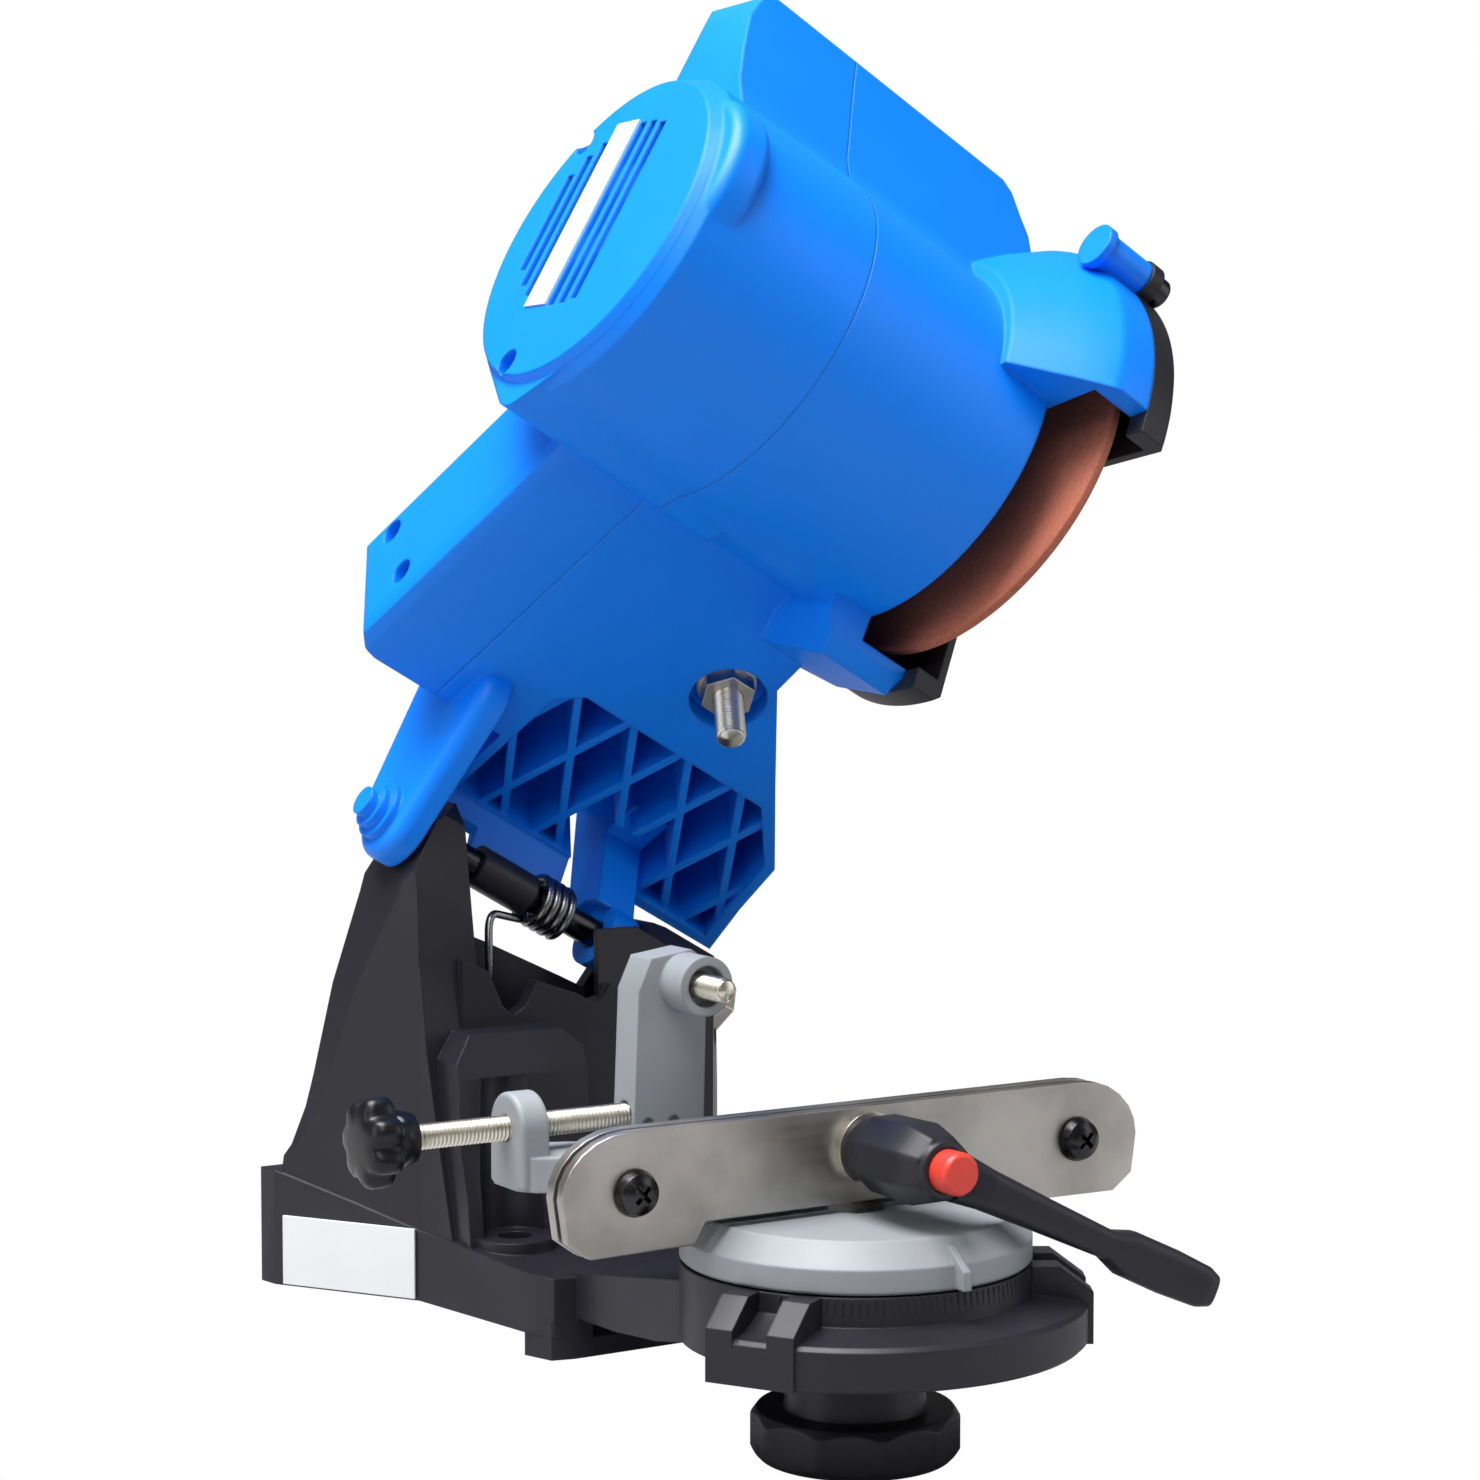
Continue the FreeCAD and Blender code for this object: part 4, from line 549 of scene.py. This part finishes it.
STAR = (-109.6, 37, 64.4)         # outer face of the star knob, on the screw's axis; vise axes
PIN = (-27, 13, 95.5)             # front end of the stop pin; vise axes
STUD_X, STUD_D = -0.6, 75.5       # the depth stop, across and along the arm
X, Y = (1, 0, 0), (0, 1, 0)

rod = lay(thread_grid(66.1, M6_R, M6_PITCH, M6_DEPTH), (STAR[0] + 5, *STAR[1:]), X, Y)
add_mesh("adjusting_screw_thread", *skin(from_vise(rod)), "stop_screw", "steel", steel,
         ("adjusting_screw",))
rod = lay(thread_grid(29.0, M6_R - 0.02, M6_PITCH, M6_DEPTH), PIN, Y, X)
add_mesh("stop_pin_thread", *skin(from_vise(rod)), "stop", "steel", steel, ("stop_pin",))
rod = lay(thread_grid(70.5, M8_R, M8_PITCH, M8_DEPTH), (STUD_X, 3.0, STUD_D), Y, X)
add_mesh("depth_stop_thread", *skin(from_arm(rod)), "depth_stud", "steel", steel,
         ("depth_stop_stud",))

# %% [markdown]
# ## Hand knobs
#
# One star knob turns the stop's screw, and one behind the arm turns the depth stop. Both are
# moulded: rounded fingers to push with, a domed face, and on the first a round collar. A
# cylinder with holes cut from its rim has sharp cusps where the real knob flows.
#
# So a knob is a turned profile whose radius dips between the fingers. The dip is a power of
# half a cosine of the angle times the number of fingers: a higher power makes narrower valleys.
# The third number of each profile point is how much of the dip is there, so it fades out on the
# domed face and is gone on the collar.

# %% knobs
def knob_grid(profile, fingers, dip, around=112, narrow=1.6):
    """Rings along +x: radius = profile radius * (1 - dip * share * wave(angle) ** narrow)."""
    w = np.linspace(0, TAU, around, endpoint=False)[None, :]
    x, r, share = (np.array(c, float)[:, None] for c in zip(*profile))
    wave = (0.5 - 0.5 * np.cos(fingers * w)) ** narrow
    radius = r * (1.0 - dip * share * wave)
    return np.stack([x + 0 * w, radius * np.cos(w), radius * np.sin(w)], -1)


# (along the axis, radius, share of the dip)
STAR_PROFILE = [(0.0, 4.2, 0), (0.25, 6.8, 0.2), (0.8, 8.9, 0.7), (1.8, 10.1, 1),
                (3.0, 10.5, 1), (5.6, 10.5, 1), (7.1, 10.2, 1), (7.9, 9.3, 1), (8.3, 7.8, 0.8),
                (8.4, 7.2, 0.1), (11.0, 6.4, 0), (13.5, 5.8, 0), (13.8, 5.2, 0), (13.8, 3.2, 0)]
BACK_PROFILE = [(0.0, 4.4, 0), (0.0, 7.5, 0.2), (0.6, 9.6, 0.8), (1.8, 10.8, 1),
                (4.0, 11.0, 1), (8.0, 11.0, 1), (9.8, 10.4, 1), (10.8, 8.8, 0.6),
                (11.0, 5.0, 0)]
BACK_FACE = 65.5                  # the second knob's inner face, back through the arm

knob = from_vise(lay(knob_grid(STAR_PROFILE, 7, 0.20), STAR, X, Y))
add_mesh("star_knob_moulded", *skin(knob), "stop_screw", "black_plastic", knob_black,
         ("star_knob",))
knob = from_arm(lay(knob_grid(BACK_PROFILE, 6, 0.18), (STUD_X, BACK_FACE, STUD_D), Y, X))
add_mesh("depth_knob_moulded", *skin(knob), "depth_knob", "black_plastic", knob_black,
         ("depth_stop_knob",))

# %% [markdown]
# ## Grinding disc
#
# The disc is pressed: two flat faces, a bore for the flange, and a rim that was dressed with a
# stone until its corners are round. A plain cylinder has the wrong glint on that rim. As a
# turned piece it is one closed profile carried round the shaft, and since a ring has no ends,
# its last row joins its first instead of meeting at a pole.
#
# `crease` then keeps the corners of the bore crisp while the rim is shaded smooth.

# %% disc
def turned(profile, around=160):
    """Rings of a turned piece round +x from (x, radius) pairs."""
    w = np.linspace(0, TAU, around, endpoint=False)[None, :]
    x, r = (np.array(c, float)[:, None] for c in zip(*profile))
    return np.stack([x + 0 * w, r * np.cos(w), r * np.sin(w)], -1)


def closed_ring(grid):
    """Skin of a ring-shaped piece: the last row of the grid joins the first."""
    rows, cols = grid.shape[:2]
    faces = ring_faces(rows, cols)
    last = (rows - 1) * cols
    faces += [(last + c, last + (c + 1) % cols, (c + 1) % cols, c) for c in range(cols)]
    return outward(grid.reshape(-1, 3), faces)


def crease(obj, degrees):
    """Keeps corners sharper than the angle sharp and shades the rest smooth."""
    with bpy.context.temp_override(object=obj, active_object=obj,
                                   selected_editable_objects=[obj]):
        bpy.ops.object.shade_smooth_by_angle(angle=math.radians(degrees))


SHAFT_Y, SHAFT_Z = -78.5, 142.5   # the motor shaft in head axes
DISC_X, DISC_T, DISC_R, BORE_R = 14.2, 3.2, 52.5, 11.1
RIM = [(0.0, 1.6), (0.15, 0.8), (0.6, 0.2), (1.6, 0.0), (2.6, 0.2), (3.05, 0.8), (3.2, 1.6)]
MID_R = 30                        # one more ring on each flat side, so that no face is long

side = [(DISC_X, BORE_R), (DISC_X, MID_R)]
far_side = [(DISC_X + DISC_T, MID_R), (DISC_X + DISC_T, BORE_R)]
disc = turned(side + [(DISC_X + x, DISC_R - low) for x, low in RIM] + far_side)
disc = from_head(lay(disc, (0, SHAFT_Y, SHAFT_Z), X, Y))
crease(add_mesh("disc_grit", *closed_ring(disc), "spindle", "abrasive", abrasive,
                ("grinding_disc",)), 40)

# %% [markdown]
# ## Clamp lever
#
# An indexing lever, moulded over a metal insert: an eight-sided hub with a round collar behind
# and a round mouth for the red button, and a flat bar that bends away and ends in a wider
# paddle. It could be cut from boxes and cylinders, but moulded corners are soft everywhere. So
# the hub is a turned profile whose rings become octagons by a formula. The bar is a loft: rounded
# rectangles at chosen stations, with eased ones between them.

# %% lever hub
LEVER_Z, HUB0, HUB1 = 59.3, -6.2, -36.5         # vise axes: height, back end, front end
LONG = HUB0 - HUB1
BLUNT = 0.985                                    # keeps the octagon's corners just off sharp


def octagonal(profile, around=160):
    """Rings round +x; share turns a circle into an octagon: r * cos(22.5) / cos(to the flat)."""
    w = np.linspace(0, TAU, around, endpoint=False)[None, :]
    x, r, share = (np.array(c, float)[:, None] for c in zip(*profile))
    eighth = TAU / 8
    off = np.mod(w + eighth / 2, eighth) - eighth / 2
    flat = math.cos(eighth / 2) / np.cos(off)
    radius = r * (1.0 - share * (1.0 - np.minimum(flat, BLUNT)))
    return np.stack([x + 0 * w, radius * np.cos(w), radius * np.sin(w)], -1)


# (along the axis from the front end, radius, share of the octagon)
OUTER = [(0.0, 5.1, 0), (0.0, 6.1, 0), (0.4, 6.6, 0), (1.3, 6.7, 0), (1.5, 7.3, 1),
         (2.0, 7.8, 1), (9.0, 9.8, 1), (LONG - 5.6, 9.4, 1), (LONG - 5.1, 9.0, 1),
         (LONG - 4.9, 7.6, 0), (LONG - 4.5, 7.4, 0), (LONG - 0.6, 7.4, 0), (LONG, 6.9, 0)]
INNER = [(LONG, 6.02, 0), (12.5, 6.02, 0), (12.5, 5.65, 0), (2.5, 5.65, 0), (2.5, 4.95, 0),
         (0.3, 4.95, 0)]
hub = lay(octagonal(OUTER + INNER), (0, HUB1, LEVER_Z), Y, X)
print("hub", LONG, "mm long")

# %% [markdown]
# A rounded rectangle is a superellipse: |x/a|^n + |y/b|^n = 1. With n = 2 it is an ellipse, and
# as n grows it nears a rectangle. At n = 3.4 the bar has flat sides and full, soft corners. The
# bar falls away from the hub by 26 degrees, so each station is a distance along that fall.

# %% lever bar
FALL, POWER, STATIONS, BAR_SIDES = math.radians(26.0), 3.4, 60, 48


def rounded_sections(stations, across):
    """Rings (centre, half width, half height) across the two given directions."""
    w = np.linspace(0, TAU, BAR_SIDES, endpoint=False)
    c, s = np.cos(w), np.sin(w)
    k = (np.abs(c) ** POWER + np.abs(s) ** POWER) ** (-1.0 / POWER)
    a, b = (np.array(v, float) for v in across)
    rings = [np.array(p, float) + np.outer(k * c * hw, a) + np.outer(k * s * hh, b)
             for p, hw, hh in stations]
    return np.stack(rings)


def eased_stations(stations, count):
    """More stations between the given ones; the share between two is f * f * (3 - 2 * f)."""
    t = np.linspace(0, len(stations) - 1, count)
    i = np.minimum(t.astype(int), len(stations) - 2)
    f = t - i
    f = f * f * (3 - 2 * f)
    rows = np.array([[*p, hw, hh] for p, hw, hh in stations], float)
    rows = rows[i] * (1 - f[:, None]) + rows[i + 1] * f[:, None]
    return [(r[:3], r[3], r[4]) for r in rows]


# (along the bar, back from the hub's front end, half thickness, half width)
BAR = [(6.4, 4.6, 3.9, 5.8), (13, 2.3, 3.8, 4.9), (30, 0.2, 3.6, 4.1), (48, -2.0, 3.5, 3.4),
       (54, -2.4, 4.0, 5.4), (66, -4.2, 4.0, 5.5), (75, -6.0, 3.9, 5.0), (77.6, -6.6, 3.2, 4.0),
       (78.2, -6.7, 1.8, 2.2)]
along = np.array([math.cos(FALL), 0, -math.sin(FALL)])
up = np.array([math.sin(FALL), 0, math.cos(FALL)])
stations = [(along * d + np.array([0, HUB1 + back, LEVER_Z]), thick, wide)
            for d, back, thick, wide in BAR]
grip = rounded_sections(eased_stations(stations, STATIONS), (Y, up))
hub_verts, hub_faces = closed_ring(from_vise(hub))
grip_verts, grip_faces = skin(from_vise(grip))
lever_faces = hub_faces + [tuple(i + len(hub_verts) for i in f) for f in grip_faces]
crease(add_mesh("clamp_lever_moulded", np.concatenate([hub_verts, grip_verts]), lever_faces,
                "lever", "black_plastic", black, ("clamp_lever",)), 45)

# %% [markdown]
# ## Scale marks
#
# The casting carries a ring of fine ridges on the wall of the table's boss, which the pointer of
# the vise runs past. They could be bumps in the material, but a bump is flat from the side and
# isn't in the mesh. So they are small wedges, one every 2.5 degrees and a longer one every 15,
# made in a loop. Figures are left off.

# %% scale marks
BOSS_R, BOSS_Z, MARK_Z = 41.0, 33.0, 28.6       # the boss, and the lower end of a short mark
PROUD, ROOT, HALF = 0.35, 0.4, 0.28              # a mark's height, depth and half width
EVERY, LONG_EVERY, LONGER, REACH = 2.5, 15, 2.2, 57.5


def mark(angle, low):
    """Eight corners of one ridge: wide and deep in the boss, narrow and proud of it."""
    w = math.radians(angle)
    out = np.array([math.sin(w), -math.cos(w), 0])
    side = np.array([math.cos(w), math.sin(w), 0])
    corners = ((-ROOT, -HALF), (PROUD, -HALF * 0.5), (PROUD, HALF * 0.5), (-ROOT, HALF))
    return np.array([out * (BOSS_R + d) + side * h + [0, 0, z]
                     for z in (low, BOSS_Z - 0.4) for d, h in corners])


marks = [mark(a, MARK_Z - (LONGER if a % LONG_EVERY == 0 else 0.0))
         for a in np.arange(-REACH, REACH + 0.5, EVERY)]
SIDES = [(3, 2, 1, 0), (4, 5, 6, 7), (0, 1, 5, 4), (1, 2, 6, 5), (2, 3, 7, 6), (3, 0, 4, 7)]
mark_faces = [tuple(8 * k + i for i in f) for k in range(len(marks)) for f in SIDES]
crease(add_mesh("table_scale_marks", *outward(from_vise(np.concatenate(marks)), mark_faces),
                "base", "black_plastic", black), 20)

# %% [markdown]
# ## Return spring
#
# The spring that lifts the head is wound round the axle: a leg that reaches down to the casting,
# four turns, and a leg back under the arm. A curve object with a round bevel would draw it, but its
# end caps are flat and its rings turn as they please. Here the wire is a tube along a path of
# points. Each ring lies across the path, and one side vector is carried from ring to ring and
# straightened a little each time, so that the tube doesn't twist.

# %% spring
WIRE, COIL_R, COIL_X, PITCH, TURNS, STEPS = 1.1, 6.6, -6.0, 2.6, 4.0, 36
CUT = 0.28                        # share of a corner's sides that the bend takes up


def tube(path, r, around=14):
    """Rings of a tube round a path; the side vector loses what lies along each new step."""
    t = np.gradient(path, axis=0)
    t /= np.linalg.norm(t, axis=1)[:, None]
    side = np.cross(t[0], [0.3, 0.5, 0.8])      # any direction that isn't along the first step
    w = np.linspace(0, TAU, around, endpoint=False)
    rings = []
    for point, way in zip(path, t):
        side = side - way * (side @ way)
        side = side / np.linalg.norm(side)
        other = np.cross(way, side)
        rings.append(point + r * (np.outer(np.cos(w), side) + np.outer(np.sin(w), other)))
    return np.stack(rings)


def bent(points, per=8):
    """A path through points with each corner b cut: s (1-f)^2 + 2 b f (1-f) + e f^2."""
    p = np.array(points, float)
    out = [p[0]]
    for a, b, c in zip(p[:-2], p[1:-1], p[2:]):
        s, e = b + (a - b) * CUT, b + (c - b) * CUT
        for f in np.arange(per + 1) / per:
            out.append(s * (1 - f) ** 2 + 2 * b * f * (1 - f) + e * f * f)
    out.append(p[-1])
    return np.array(out)


w = np.linspace(0, TAU * TURNS, int(STEPS * TURNS))
coil = np.stack([COIL_X + PITCH * w / TAU, COIL_R * np.sin(w), -COIL_R * np.cos(w)], -1)
low_leg = bent([(COIL_X - 2.2, -8.2, -29.5), (COIL_X - 10.5, -2.0, -COIL_R - 2.9), coil[0],
                coil[2]])
high_leg = bent([coil[-3], coil[-1], (coil[-1][0], 20.0, 3.4)])
wire = np.concatenate([low_leg[:-6], coil, high_leg[8:]])      # without the parts they share
add_mesh("return_spring_wire", *skin(from_head(tube(wire, WIRE))), "base", "spring_steel",
         spring_steel, ("torsion_spring",))

# %% [markdown]
# ## Camera
#
# The camera stands to the left of the front and a little above the machine's middle, and looks
# at it from 0.7 m. A long lens keeps the towers upright. It could be aimed with
# a Track To constraint, but two angles and a distance say the same and stay readable.

# %% camera
AZIMUTH, ELEVATION, DISTANCE = math.radians(-31.65), math.radians(3.44), 0.71335
TARGET = Vector((-0.02844, -0.112, 0.15395))
LENS, SENSOR = 76.52, 36.0        # millimetres

toward = Vector((math.sin(AZIMUTH) * math.cos(ELEVATION),
                 -math.cos(AZIMUTH) * math.cos(ELEVATION), math.sin(ELEVATION)))
cam = bpy.data.objects.new("camera", bpy.data.cameras.new("camera"))
bpy.context.scene.collection.objects.link(cam)
cam.data.lens = LENS
cam.data.sensor_width = SENSOR
cam.location = TARGET + toward * DISTANCE
cam.rotation_mode = "QUATERNION"
cam.rotation_quaternion = (-toward).to_track_quat("-Z", "Y")
bpy.context.scene.camera = cam
print("camera at", tuple(round(v, 3) for v in cam.location), "m")

# %% [markdown]
# ## Floor and background
#
# Seen straight on, floor and background are plain white, so the machine stands out. White could
# come from strong light, but that would bleach the machine too. Instead, the ray itself is asked
# what it is: a ray from the camera finds white, and every other ray, which carries light and
# reflections, finds a calm grey.

# %% floor and background
FLOOR_SIZE, FLOOR_GAP, FLOOR_GREY = 6.0, 0.0002, (0.42, 0.42, 0.42)     # metres
SKY_GREY, WHITE = (0.13, 0.132, 0.137), (1.0, 1.0, 1.0)


def pale_floor():
    """Diffuse pale floor, and white to the camera's own rays."""
    k = Look("floor")
    ray = k.node("ShaderNodeLightPath", out="Is Camera Ray")
    glow = k.node("ShaderNodeEmission", {"Color": WHITE, "Strength": 1.0})
    k.done(Base_Color=FLOOR_GREY, Roughness=0.9)
    both = k.node("ShaderNodeMixShader", {0: ray, 1: Sock(k, k.bsdf.outputs[0]), 2: glow})
    k.tree.links.new(both.out, k.tree.nodes["Material Output"].inputs["Surface"])
    return k.mat


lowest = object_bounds()[0].z
bpy.ops.mesh.primitive_plane_add(size=FLOOR_SIZE, location=(0, 0, lowest - FLOOR_GAP))
floor = bpy.context.object
floor.name = "floor"
floor.data.materials.append(pale_floor())

world = bpy.data.worlds.new("world")
bpy.context.scene.world = world
world.use_nodes = True
tree = world.node_tree
sky = tree.nodes["Background"]
ray = tree.nodes.new("ShaderNodeLightPath")
tint = tree.nodes.new("ShaderNodeMix")
tint.data_type = "RGBA"
tint.inputs[MIX_A].default_value = (*SKY_GREY, 1)
tint.inputs[MIX_B].default_value = (*WHITE, 1)
tree.links.new(ray.outputs["Is Camera Ray"], tint.inputs[MIX_SHARE])
tree.links.new(tint.outputs[MIX_OUT], sky.inputs["Color"])
sky.inputs["Strength"].default_value = 1.0
print("floor at", round(lowest - FLOOR_GAP, 4), "m")

# %% [markdown]
# ## Lamps
#
# A studio for small tools has one big soft box overhead, which gives the top faces their pale
# sheen, and weak fill from the front, the right and the left, so that the sides keep their
# colour. Point lamps would throw hard shadows. Large area lamps are soft, because a point on
# the machine that can't see all of a lamp still sees a part of it.

# %% lamps
MIDDLE = (0.0, -0.03, 0.17)       # where the lamps look, in metres
# name: (place in metres, size in metres, watts)
LAMPS = {"key": ((-0.65, -0.85, 1.05), (0.8, 0.8), 5.0),
         "side": ((1.0, -0.9, 0.45), (0.7, 1.0), 3.0),
         "top": ((-0.35, -0.05, 1.3), (1.0, 0.8), 36.0),
         "left": ((-1.2, 0.1, 0.4), (0.6, 1.0), 3.0)}


def lamp(name, spot, size, power):
    """Rectangular lamp at a spot, turned to face the middle."""
    data = bpy.data.lights.new(name, "AREA")
    data.shape = "RECTANGLE"
    data.size, data.size_y = size
    data.energy = power
    obj = bpy.data.objects.new(name, data)
    bpy.context.scene.collection.objects.link(obj)
    obj.location = spot
    obj.rotation_mode = "QUATERNION"
    obj.rotation_quaternion = (Vector(MIDDLE) - Vector(spot)).to_track_quat("-Z", "Y")


for name, (spot, size, power) in LAMPS.items():
    lamp(name, spot, size, power)
bpy.context.scene.view_settings.view_transform = "Standard"
print(len(LAMPS), "lamps set")
